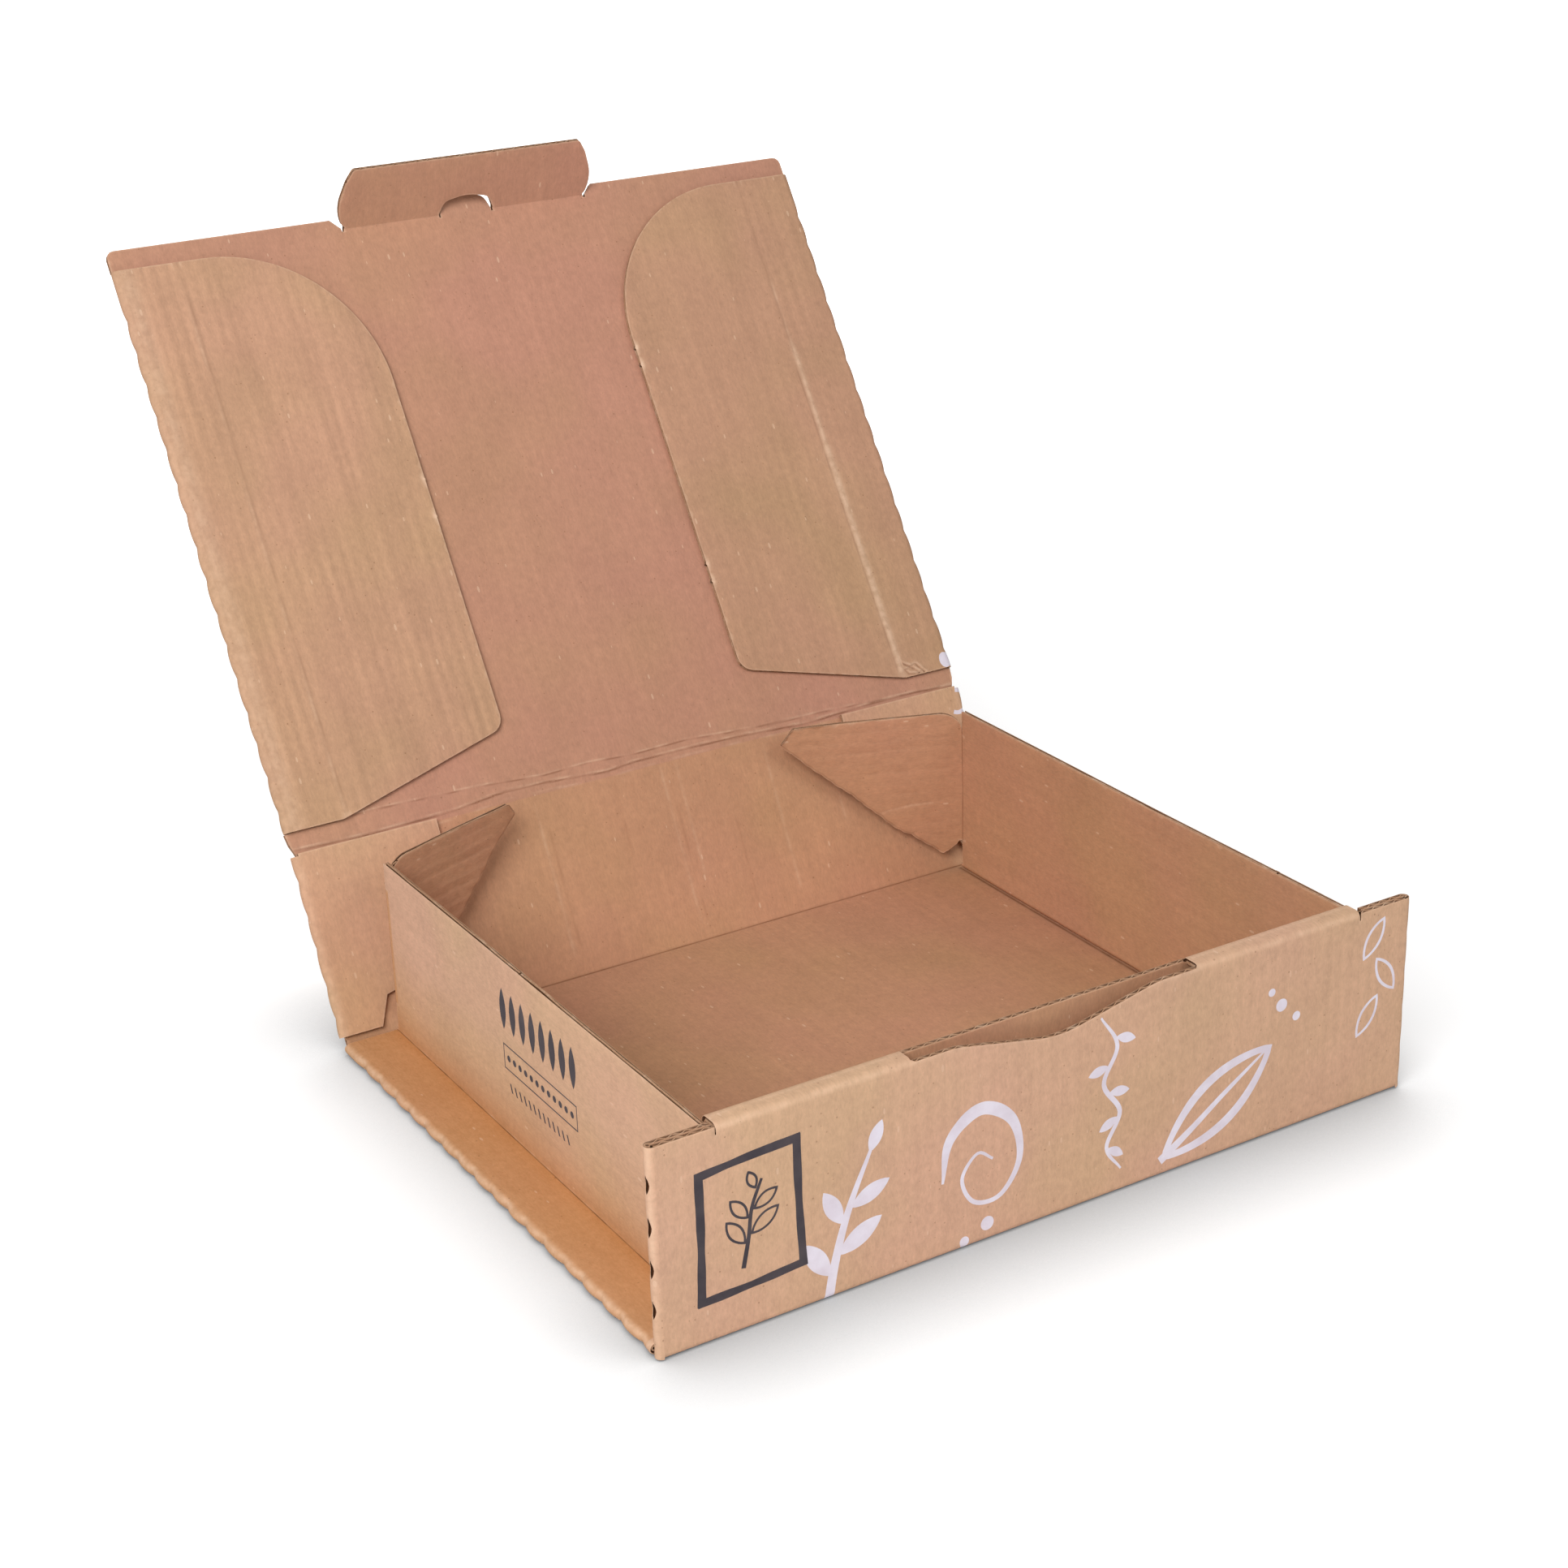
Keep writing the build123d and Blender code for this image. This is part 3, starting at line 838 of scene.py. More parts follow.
def front_place(p, q, w):
    """Places the base and roll-over. Beside the flat top, and in its slot, the panels stand up straight."""
    points, normals = front_path.at(q)
    raw = (np.abs(p) < SLOT_X - 0.05) | (np.abs(p) > ROLL_X + 0.2)
    middle = (TOP_START + TOP_END) / 2
    outer, inner = raw & (q > middle) & (q < PANEL_START), raw & (q <= middle) & (q > INNER_FOLD)
    for here, y, z, facing in (
        (outer, -OUTER_Y, front_q(q), 1), (inner, INNER_Y, PANEL_TOP_Z + q - INNER_FOLD, -1),
    ):
        points[here] = np.column_stack([np.full(len(q), y), z])[here]
        normals[here] = (facing, 0)
    return np.column_stack([p, points + normals * w[:, None]])


def disc(p, q, radius, count=28, squash=1.0):
    a = np.linspace(0, 2 * math.pi, count, endpoint=False)
    return [(p + radius * math.cos(t), q + squash * radius * math.sin(t)) for t in a]


def part_ring(p, q, outer, inner, start, end, count=40):
    """Part of a ring, as an outline."""
    a = np.radians(np.linspace(start, end, count))
    return [(p + radius * math.cos(t), q + radius * math.sin(t))
            for radius, angles in ((outer, a), (inner, a[::-1])) for t in angles]


def leaf(p, q, length, width, tilt, count=12):
    """A pointed leaf."""
    t = np.linspace(0, 1, count)
    side = width / 2 * np.sin(math.pi * t) ** 0.8
    along = (t - 0.5) * length
    shape = list(zip(along, side)) + list(zip(along[::-1][1:-1], -side[::-1][1:-1]))
    c, s = math.cos(math.radians(tilt)), math.sin(math.radians(tilt))
    return [(p + c * x - s * y, q + s * x + c * y) for x, y in shape]


def outlined(shape, inner):
    """A shape with a bare middle, as one outline."""
    return list(shape) + [shape[0]] + [inner[0]] + list(reversed(inner))


def smooth(points, step=1.8):
    """A smooth line through the points."""
    points = np.array(points, float)
    ends = [2 * points[0] - points[1]] + list(points) + [2 * points[-1] - points[-2]]
    line = []
    for a, b, c, d in zip(ends, ends[1:], ends[2:], ends[3:]):
        count = max(2, int(np.linalg.norm(c - b) / step))
        for t in np.arange(count) / count:
            line.append(0.5 * (2 * b + (c - a) * t + (2 * a - 5 * b + 4 * c - d) * t ** 2
                               + (3 * b - a - 3 * c + d) * t ** 3))
    return np.array(line + [points[-1]])


def swash(points, widths, seed=0, uneven=0.0):
    """A brush line through the points, with its width given at each."""
    line = smooth(points)
    run = lengths_along(line)
    half = np.interp(run / run[-1], np.linspace(0, 1, len(widths)), widths) / 2
    half = half * (1 + uneven * wobble(seed, 17)(run))
    side = left_normals(np.gradient(line, axis=0)) * half[:, None]
    return [tuple(c) for c in line + side] + [tuple(c) for c in (line - side)[::-1]]


def sprig(points, widths, leaves, hollow=0.0):
    """A stem and its leaves, each leaf given by share of the stem, side, length and width."""
    line = smooth(points)
    shapes = [swash(points, widths)]
    for share, side, length, width in leaves:
        k = min(int(share * (len(line) - 1)), len(line) - 2)
        ahead = line[k + 1] - line[k]
        tilt = math.degrees(math.atan2(ahead[1], ahead[0])) + side * 46
        reach = (length / 2 + 1.2) * np.array([math.cos(math.radians(tilt)), math.sin(math.radians(tilt))])
        p, q = line[k] + reach
        shape = leaf(p, q, length, width, tilt)
        if hollow:
            shape = outlined(shape, leaf(p, q, length - 3.4 * hollow, width - 2.2 * hollow, tilt))
        shapes.append(shape)
    return shapes


def on_front(shapes, mark):
    """Shapes drawn in x and height, as prints on the front panel."""
    return [(mark, [(x, front_q(z)) for x, z in shape]) for shape in shapes]


def front_prints():
    """Loose white sprigs, curls and dots, which run off the panel's foot as a repeat pattern does."""
    curl = [(-61, 36), (-57, 56), (-41, 66), (-25, 56), (-21, 36), (-31, 21), (-45, 22), (-51, 35), (-43, 45),
            (-35, 40)]
    shapes = sprig(
        [(-121, -14), (-116, 14), (-108, 40), (-96, 66)], [5.0, 4.4, 3.4, 1.6],
        [(0.3, 1, 23, 9), (0.4, -1, 25, 9.5), (0.58, 1, 20, 8), (0.68, -1, 21, 8), (0.97, 0, 15, 6.5)],
    )
    shapes += [swash(curl, [1.2, 4.5, 6.4, 6.0, 4.2, 3.0, 2.4, 2.0, 1.8, 1.2])]
    shapes += [disc(-38, 9, 3.4), disc(-50, 4, 2.4)]
    shapes += sprig(
        [(22, 90), (31, 74), (24, 57), (33, 41), (26, 25), (34, 12)], [1.0, 2.2, 2.4, 2.4, 2.2, 1.0],
        [(0.16, 1, 11, 5), (0.33, -1, 11, 5), (0.5, 1, 11, 5), (0.67, -1, 11, 5), (0.84, 1, 10, 4.6)],
    )
    shapes += [outlined(leaf(88, 28, 74, 30, 32, 24), leaf(88, 28, 64, 20, 32, 24))]
    shapes += [swash([(56, 8), (74, 19), (92, 31), (116, 46)], [4.6, 3.4, 2.6, 1.0])]
    shapes += [disc(124, 66, 3.2), disc(133, 58, 2.3), disc(118, 74, 2.0), disc(64, -2, 3.6)]
    for x, z, tilt in ((178, 84, 58), (186, 64, 122), (176, 45, 58)):
        shapes.append(outlined(leaf(x, z, 23, 9.6, tilt), leaf(x, z, 19, 6.6, tilt)))
    return on_front(shapes, WHITE)


def frame_prints():
    """A hand-drawn black frame round a sprig."""
    corners = [np.array(corner) for corner in ((-178.0, 79), (-132.0, 82), (-130.5, 23), (-179, 20.5))]
    shapes = []
    for k, (a, b) in enumerate(zip(corners, corners[1:] + corners[:1])):
        d = (b - a) / np.linalg.norm(b - a)
        bow = 0.5 * np.array([-d[1], d[0]]) * (-1) ** k
        shapes.append(swash([a - d * 1.6, (a + b) / 2 + bow, b + d * 1.9], [4.0, 3.7, 4.1], 40 + k, 0.07))
    shapes += sprig(
        [(-159, 30), (-156, 44), (-154, 57), (-149, 69)], [2.2, 2.0, 1.8, 1.4],
        [(0.25, 1, 16, 7.2), (0.35, -1, 17, 7.4), (0.55, 1, 14, 6.6), (0.65, -1, 14, 6.6), (0.9, 1, 10, 5.4)],
        1.0,
    )
    return on_front(shapes, BLACK)


finger_dip = rounded(
    [(SLOT_X, ROLL_TOP_Z), (53, ROLL_TOP_Z), (0, 87.6), (-53, ROLL_TOP_Z), (-SLOT_X, ROLL_TOP_Z)],
    [40, 57, 40],
)
slot_back_q = INNER_FOLD + ROLL_TOP_Z - PANEL_TOP_Z
tray = Board()
tray.sheet(
    [
        both_halves([
            (ROLL_X, 0), (ROLL_X, PANEL_START + 1.2), (ROLL_X + 0.6, PANEL_START + 1.2),
            (ROLL_X + 0.6, front_q(RAW_END_TOP)), (SIDE_FOLD_X, front_q(RAW_END_TOP)),
            (SIDE_FOLD_X, BASE_END),
        ]),
        [(-SLOT_X, slot_back_q), (SLOT_X, slot_back_q)] + [(p, front_q(z)) for p, z in finger_dip],
    ],
    front_place,
    ripple(0.035, 11),
    rows_q=front_path.rows(),
    along=12.0,
    prints=front_prints() + frame_prints(),
    seams=side_seams(front_q(RAW_END_TOP), BASE_END) + [(1, BASE_END, -SIDE_FOLD_X, SIDE_FOLD_X)],
    creases=[
        # Painted highlights along the roll-over's two fold edges
        crease_across(PANEL_START - 1.2, 172, 0.8, worn=0.55, side=-1, seed=3, broken=0.5),
        crease_across(TOP_START + 1.2, 172, 0.7, worn=0.4, side=-1, seed=4, broken=0.6),
        # Painted shade lines where the side walls' feet stand on the base
        crease_along(WALL_FOOT_X, BASE_START, BASE_END + 4, 0.8, dark=0.9, seed=5, broken=0.2),
        crease_along(-WALL_FOOT_X, BASE_START, BASE_END + 4, 0.8, dark=0.9, seed=6, broken=0.2),
    ],
)

# Ledge and side wall with its front flap: one sheet each side, folded about two directions
WALL_START_Z = HALF + LAYER + FOLD
side_path = Path(
    (SIDE_FOLD_X, HALF), 0,
    (180, FLAT_RADIUS), SIDE_FOLD_X - WALL_X - FOLD, (-90, FOLD), WALL_TOP - WALL_START_Z,
)
_, LEDGE_START, FOOT_START, WALL_START, WALL_END = side_path.marks
FOOT_MIDDLE = (FOOT_START + WALL_START) / 2
FLAP_END_X = 80.0  # where the flaps in the roll-over end
front_turn = Path((FLAP_END_X, SECOND_Y), 0, WALL_X - FOLD - FLAP_END_X, (90, FOLD), 400.0)
FRONT_TURN_Q = SECOND_Y + FOLD
FLAP_LENGTH = front_turn.marks[2]
LEDGE_FRONT, LEDGE_BACK = -155.5, 155.2
WALL_BACK = CORNER_Y - 0.15


def ledge_painted_bounce(p, q):
    """Painted bounce light: the paper is tinted orange in the corner between ledge and wall, where light
    bounces between them.
    """
    ledge = np.interp(p, [0, LEDGE_START, FOOT_MIDDLE - 8, FOOT_MIDDLE], [0.3, 0.7, 0.8, 0.95])
    wall = np.interp(p - FOOT_MIDDLE, [0, 6, 22, 50], [0.75, 0.5, 0.2, 0])
    return np.where(p < FOOT_MIDDLE, ledge, wall) * (q > FRONT_TURN_Q)


def wall_p(z):
    """Where a height on the side wall is in the flat sheet."""
    return WALL_START + z - WALL_START_Z


def wall_prints():
    """A small dark block on the left wall: a row of leaves, a thin strip of dots and a row of dashes."""
    shapes = [leaf(wall_p(72), y, 21, 6.2, 0) for y in np.linspace(-41, 27, 8)]
    strip, bare = (
        [(wall_p(41) + thin, -43 + thin), (wall_p(54) - thin, -43 + thin), (wall_p(54) - thin, 29 - thin),
         (wall_p(41) + thin, 29 - thin)] for thin in (0, 0.7)
    )
    shapes.append(outlined(strip, bare))
    shapes += [disc(wall_p(47.5), y, 1.7, 12) for y in np.linspace(-38, 24, 12)]
    for y in np.linspace(-34, 22, 13):
        shapes.append([(wall_p(z), y + rise) for z, rise in ((30, 0), (34.5, 1.6), (34.5, 3.0), (30, 1.4))])
    return [(BLACK, shape) for shape in shapes]


def side_place(side, scallop):
    """Places the ledge and wall, which bows in a little at its top, and turns the wall's front flap."""
    sway = wobble(70 + side, 180)

    def place(p, q, w):
        x, z = round_fold(side_path, p, q, w, scallop)
        y = q.copy()
        turning = (p > WALL_START) & (q < FRONT_TURN_Q)
        flat, normal = front_turn.at(q[turning] - FRONT_TURN_Q + FLAP_LENGTH)
        x[turning], y[turning] = (flat + normal * w[turning, None]).T
        up = np.clip((z - WALL_START_Z) / (WALL_TOP - WALL_START_Z), 0, 1)
        bow = np.clip(np.cos(math.pi * q / 330), 0, 1)
        x = x - up ** 1.5 * bow * (0.25 + 0.15 * sway(q)) * (p > FOOT_START) * (q > FRONT_TURN_Q)
        return np.column_stack([x, y, z])

    return place


for side, mirror in enumerate((False, True)):
    spans = perforation(-155, 155, 60 + side)
    flap_start = FRONT_TURN_Q - FLAP_LENGTH
    nick = (-102.0, 10.0)[side]
    outline = [
        (0, LEDGE_FRONT), (WALL_START, LEDGE_FRONT), (WALL_START, FRONT_TURN_Q),
        (WALL_START + 1.5, FRONT_TURN_Q), (WALL_START + 1.5, flap_start), (WALL_END, flap_start),
        (WALL_END, nick - 1.6), (WALL_END + 0.2, nick - 1.2), (WALL_END + 0.15, nick + 1.2),
        (WALL_END, nick + 1.6), (WALL_END, WALL_BACK),
        (wall_p(CORNER_HIGH), WALL_BACK), (wall_p(CORNER_HIGH), CORNER_Y - CORNER_BAND),
        (wall_p(CORNER_LOW), CORNER_Y - CORNER_BAND), (wall_p(CORNER_LOW), WALL_BACK),
        (WALL_START, WALL_BACK), (WALL_START, LEDGE_BACK), (0, LEDGE_BACK),
    ]
    torn = [(WALL_END - 0.2, nick - 1.5), (WALL_END - 1.4, nick + 1.5)]
    tray.sheet(
        [outline] + slits(SLIT_P, spans, 0.25),
        side_place(side, scallops(spans, 0.95, 0.75, 75 + side)),
        ripple(0.04, 21 + side),
        rows_p=side_path.rows(),
        row_gap=2.0,
        prints=wall_prints() if mirror else (),
        creases=[
            # A painted highlight along the ledge's fold edge
            crease_along(HALF_ROUND * 0.72, -158, 158, 0.8, worn=0.8, side=-1, seed=7, broken=0.3),
            # A painted shade line in the crease at the wall's foot
            crease_along(FOOT_MIDDLE, -158, 158, 0.7, dent=0.2, dark=1.0, side=-1, seed=8, broken=0.3),
            Crease(torn, 0.9, worn=1.0, side=-1, seed=13),
            crease_along(WALL_END - 0.3, nick - 1.2, nick + 1.2, 0.8, worn=1.0, seed=14),
            # A broken painted highlight beside the crease at the wall's foot
            crease_along(FOOT_MIDDLE + 1.5, -140, 158, 0.5, worn=0.7, side=-1, seed=12, broken=1.0),
        ],
        painted_warm_light=ledge_painted_bounce,
        rows_q=[FRONT_TURN_Q - FOLD * math.pi / 2 * k / 5 for k in range(6)],
        seams=[(0, 0, LEDGE_FRONT, LEDGE_BACK),
               (1, CORNER_Y - CORNER_BAND, wall_p(CORNER_LOW), wall_p(CORNER_HIGH))],
        mirror=mirror,
    )

# Front panel's side flaps, folded flat behind it, and the heights of the slits in their folds
front_slits = [(9.0, 2.0), (28.0, 19.0), (47.0, 38.0), (67.0, 57.0), (86.0, 77.0)]
front_slits = [(front_q(high), front_q(low)) for high, low in front_slits]
front_foot = front_q(3.2)
raw_top, wall_top = front_q(RAW_END_TOP), front_q(WALL_TOP)
outline = [
    (0, raw_top), (fold_p(172), raw_top), (fold_p(172), wall_top), (fold_p(FLAP_END_X), wall_top),
    (fold_p(FLAP_END_X), front_foot), (HALF_ROUND * 0.8, front_foot), (HALF_ROUND * 0.55, front_foot + 2.6),
    (0, front_foot + 2.6), (0, front_foot),
]
for mirror in (False, True):
    tray.sheet(
        [outline] + slits(HALF_ROUND / 2, front_slits[1:], 0.9),
        folded_place((0, -OUTER_Y, PANEL_START + PANEL_TOP_Z), -UP, BACK, scallops(front_slits, 0.2, 0.25)),
        rows_p=FOLDED_OVER.rows(),
        row_gap=2.0,
        seams=[(0, 0, raw_top, front_foot)],
        creases=[crease_along(SLIT_P, 0, front_foot + 6, 0.7, worn=0.7, side=-1, seed=9, broken=0.4)],
        mirror=mirror,
        along=20.0,
    )
shown(tray, "tray", "tray")

# Back wall
wall_head = WALL_HEIGHT - HINGE_BAND

# The two broken lines that the hinge has left across the inner liner, by height above the back wall's foot
UPPER_LINE = [
    (-204, 110), (-150, 110.5), (-93, 108.8), (-58, 106.2), (-32, 106.8), (-3, 105.4), (28, 106), (54, 104.1),
    (80, 103), (118, 102.2), (155, 100.8), (204, 99.4),
]
LOWER_LINE = [
    (-204, 100.4), (-160, 99), (-110, 100), (-81, 102.9), (-58, 102.4), (-34, 100.8), (-22, 100), (-6, 101.4),
    (31, 101.4), (64, 100.6), (101, 98.6), (139, 100.1), (172, 100.5), (204, 98.4),
]


def hinge_lines(start):
    """The hinge's lines and the pale lines beside them, on a panel that starts that far above the back wall's
    foot.
    """
    return [
        Crease([(x, height + rise + slope * x - start) for x, height in line], width, dent, worn, dark,
               seed=seed, broken=broken)
        for line, rise, slope, width, dent, worn, dark, seed, broken in (
            (UPPER_LINE, 0, 0, 0.45, 0.2, 0.0, 0.55, 13, 0.9),
            (UPPER_LINE, 0.9, 0, 0.5, 0.0, 0.5, 0.0, 14, 0.9),
            (LOWER_LINE, 0, 0, 0.45, 0.3, 0.0, 0.8, 15, 0.6),
            (LOWER_LINE, 1.0, 0, 0.5, 0.0, 0.6, 0.0, 16, 0.8),
            (LOWER_LINE, -3.2, 0.006, 0.6, 0.0, 0.35, 0.0, 17, 1.0),
        )
    ]


# Faint lines along single flutes of the back wall: place, ends, how pale and how dark
flute_lines = [
    Crease([(x, low), (x + 0.4, high)], 0.9, dent=0.1, worn=worn, dark=dark, seed=100 + number, broken=0.6)
    for number, (x, low, high, worn, dark) in enumerate((
        (-118, 20, 90, 0.2, 0.0), (-67, 10, 94, 0.3, 0.0), (-62.5, 14, 80, 0.0, 0.22), (8, 8, 97, 0.3, 0.0),
        (12, 8, 90, 0.0, 0.25), (17.5, 30, 97, 0.25, 0.0), (71, 12, 92, 0.3, 0.0), (109, 40, 98, 0.2, 0.0),
        (-20, 50, 96, 0.0, 0.18), (44, 10, 60, 0.0, 0.18),
    ))
]
back_wall = Board()
back_wall.sheet(
    [both_halves([(SIDE_FOLD_X, BACK_BAND), (SIDE_FOLD_X, wall_head)])],
    cross_place(wall_foot, wall_up, wall_in),
    ripple(0.05, 31),
    seams=side_seams(BACK_BAND, wall_head)
    + [(1, q, -SIDE_FOLD_X, SIDE_FOLD_X) for q in (BACK_BAND, wall_head)],
    creases=hinge_lines(0) + flute_lines,
)
flap_foot, flap_head = 4.9, 98.6
outline = [
    (0, flap_foot), (HALF_ROUND, flap_foot), (fold_p(178), flap_foot), (fold_p(171.5), 19.6),
    (fold_p(158), 22.6), (fold_p(122), 58.6), (fold_p(122), flap_head), (HALF_ROUND, flap_head),
    (HALF_ROUND, wall_head), (0, wall_head),
]
for side, mirror in enumerate((False, True)):
    spans = perforation(6, 97, 80 + side)
    back_wall.sheet(
        [outline] + slits(SLIT_P, spans, 0.25),
        folded_place(wall_foot, wall_up, wall_in, scallops(spans, 0.6, 0.5, 85 + side)),
        ripple(0.05, 33 + side),
        rows_p=FOLDED_OVER.rows(),
        row_gap=2.0,
        prints=() if mirror else [(WHITE, part_ring(HALF_ROUND + 1.5, 90, 7.5, 5.2, 100, 300))],
        creases=[crease_along(HALF_ROUND, 0, 104, 1.6, worn=0.35, side=-1, seed=18, broken=0.5)],
        seams=[(0, 0, flap_foot, wall_head)],
        mirror=mirror,
    )
shown(back_wall, "back_wall", "back_wall", BACK_MATERIALS)

# Lid, with the half-moon that stays on it, and the tuck flap that it is cut out of
LID_X = 200
LID_HINGE_X = 199.2
TUCK_ROOT_X = 71.4
HALF_MOON_X = 15.9


def half_moon(half, foot, neck_x, neck, top):
    return rounded([(half, foot), (neck_x, neck), (0, top), (-neck_x, neck), (-half, foot)], [6, 24, 6])


def tuck_seams(q):
    """Seams on both sides of the half-moon."""
    return [(1, q, HALF_MOON_X, TUCK_ROOT_X), (1, q, -TUCK_ROOT_X, -HALF_MOON_X)]


lid_end = TUCK_V - TUCK_BAND
wing_ends = WING_LOW - 0.1, WING_HIGH + 0.1
right = [
    (LID_HINGE_X, HINGE_BAND), (LID_X, wing_ends[0]), (SIDE_FOLD_X, wing_ends[0]),
    (SIDE_FOLD_X, wing_ends[1]), (LID_X, wing_ends[1]),
]
right += rounded([(LID_X, 307), (LID_X, LID_FRONT_V), (77.7, LID_FRONT_V)], [4])[1:]
right += [(72.6, TUCK_V), (72.4, lid_end), (HALF_MOON_X, lid_end), (15.0, lid_end)]
lid = Board()
lid.sheet(
    [right + half_moon(15.0, TUCK_V - 0.2, 12.8, TUCK_V + 7.6, TUCK_V + 10.4) + mirrored(right)],
    cross_place(lid_foot, lid_out, lid_in),
    ripple(0.035, 41),
    creases=hinge_lines(WALL_HEIGHT),
    seams=side_seams(*wing_ends) + [(1, HINGE_BAND, -LID_X, LID_X)] + tuck_seams(lid_end),
)
shown(lid, "lid", "lid", LID_MATERIALS)

tuck = Board()
tuck_side = [(70.9, TUCK_BAND)] + rounded(
    [(TUCK_ROOT_X, 1.0), (75.9, 11.0), (70.5, 27.0), (66.5, 33.8), (0, 33.8)], [22, 10, 2.4]
)[1:-1]
tuck.sheet(
    [both_halves(tuck_side) + half_moon(-HALF_MOON_X, TUCK_BAND, -13.2, 8.4, 11.2)],
    cross_place(tuck_foot, tuck_out, tuck_in),
    ripple(0.05, 51),
    seams=tuck_seams(TUCK_BAND),
)
shown(tuck, "tuck_flap", "tuck_flap", LID_MATERIALS)

# Wings: each is a fold, a strip, a crease and a panel, one after the other in its flat sheet
STRIP_END = fold_p(PANEL_CREASE_X) - STRIP_BAND
PANEL_START_P = STRIP_END + 2 * STRIP_BAND
wing_outline = rounded(
    [(PANEL_CREASE_X, WING_LOW + 0.5), (PANEL_EDGE_X, WING_LOW + 26.3), (PANEL_EDGE_X, WING_HIGH),
     (PANEL_CREASE_X, WING_HIGH)],
    [9, 81],
)


def with_nibs(outline, places):
    """The wing's outline with the small torn nibs on its straight free edge."""
    found = []
    for (x0, v0), (x1, v1) in zip(outline, outline[1:] + outline[-1:]):
        found.append((x0, v0))
        if abs(x0 - PANEL_EDGE_X) < 0.01 and abs(x1 - PANEL_EDGE_X) < 0.01:
            for v in places:
                if v0 + 1 < v < v1 - 1:
                    found += [(x0, v - 0.8), (x0 - 0.28, v - 0.5), (x0 - 0.28, v + 0.5), (x0, v + 0.8)]
    return found


def wing_line(x, low, high, width, **looks):
    return crease_along(fold_p(x), low, high, width, side=-1, **looks)


right_wing_lines = [
    wing_line(167.4, 8, 212, 1.5, worn=0.8, seed=23, broken=0.08, dent=-0.15),
    wing_line(167.4, 8, 150, 2.2, worn=0.9, seed=22, broken=0.1),
    wing_line(167.2, 186, 250, 0.8, worn=0.45, seed=24, broken=0.8),
    wing_line(165.0, 10, 200, 0.5, dark=0.35, seed=25, broken=0.5),
    wing_line(166.4, 200, 318, 0.5, dark=0.2, seed=26, broken=0.7),
]

# The crumpled corner of the right wing: pale ridges, each with painted shade in the dented hollow beside it
for number, (points, dent) in enumerate((
    ([(165, 20), (169, 18.6), (175, 14.8), (182, 8.0)], 0.5),
    ([(166, 15.5), (171, 13.8), (178, 16.4), (185, 7.0)], 0.6),
    ([(170, 16.5), (172, 11.5), (178, 10.2), (183, 12.6)], 0.5),
)):
    ridge = [(fold_p(x), v) for x, v in points]
    hollow = [(p + 0.9, v - 0.7) for p, v in ridge]
    right_wing_lines += [
        Crease(ridge, 0.7, worn=0.9, dent=-0.16, side=-1, seed=27 + number, broken=0.2),
        Crease(hollow, 0.5, dark=0.55, dent=dent, side=-1, seed=30 + number, broken=0.4),
    ]
left_wing_lines = [
    # A broad painted highlight along the fold edge, where the board curves round to the light
    wing_line(194.5, 4, 316, 5.0, worn=0.42, seed=33, broken=0.15),
    wing_line(167.2, 10, 300, 0.8, worn=0.3, seed=34, broken=0.9),
    wing_line(166.0, 10, 300, 0.5, dark=0.22, seed=35, broken=0.7),
]
for side, (word, lines, nibs) in enumerate((
    ("right", right_wing_lines, (86.5, 96.5, 213, 223)), ("left", left_wing_lines, (152, 172.5)),
)):
    mirror = side == 1
    sign, materials = 1 - 2 * side, WING_MATERIALS[side]
    strip_body, panel_body = word + "_wing_strip", word + "_wing_panel"
    spans = perforation(WING_LOW + 3, WING_HIGH - 3, 90 + side)
    place = folded_place(lid_foot, lid_out, lid_in, scallops(spans, 0.65, 0.55, 95 + side))
    relief = ripple((0.03, 0.05)[side], 61 + side)
    dot = () if mirror else [(WHITE, disc(HALF_ROUND + 0.6, 13.6, 3.4, 24, 1.3))]

    def wing_part(low, high, corner=0, holes=(), **more):
        """A part of the wing over its whole height, which carries on in its neighbours."""
        board = Board()
        outline = [(low, WING_LOW), (high, WING_LOW + corner), (high, WING_HIGH), (low, WING_HIGH)]
        board.sheet([outline, *holes], place, mirror=mirror,
                    seams=[(0, p, WING_LOW, WING_HIGH) for p in (low, high)], **more)
        return board

    edge = wing_part(0, HALF_ROUND, holes=slits(SLIT_P, spans, 0.25), rows_p=FOLDED_OVER.rows(), row_gap=2.0,
                     prints=dot, creases=lines[:1] if mirror else ())
    bent(edge, word + "_wing_fold",
         materials)
    strip = wing_part(HALF_ROUND, STRIP_END, relief=relief, prints=dot, creases=lines)
    shown(strip, strip_body, strip_body, materials)
    crease = wing_part(STRIP_END, PANEL_START_P, 1, relief=relief, creases=lines,
                       rows_p=[STRIP_END + 0.5 * k for k in range(1, 8)])
    bent(crease, word + "_wing_crease", materials)
    panel = Board()
    outline = [(fold_p(x), q) for x, q in with_nibs(wing_outline[1:-1], nibs)]
    nib_marks = [wing_line(PANEL_EDGE_X + 0.5, v - 4.6, v + 4.6, 1.3, worn=1.5, seed=50) for v in nibs]
    panel.sheet(
        [[(PANEL_START_P, WING_LOW + 1)] + outline + [(PANEL_START_P, WING_HIGH)]], place, relief,
        creases=lines + nib_marks, seams=[(0, PANEL_START_P, WING_LOW, WING_HIGH)], mirror=mirror,
    )
    shown(panel, panel_body, panel_body, materials)


# Corner flaps. Here p is the height, and q the distance from the crease.

def crease_reach(turn, radius):
    """How far on each side of a sharp crease its round fold starts."""
    return radius * math.tan(math.radians(abs(turn) / 2))


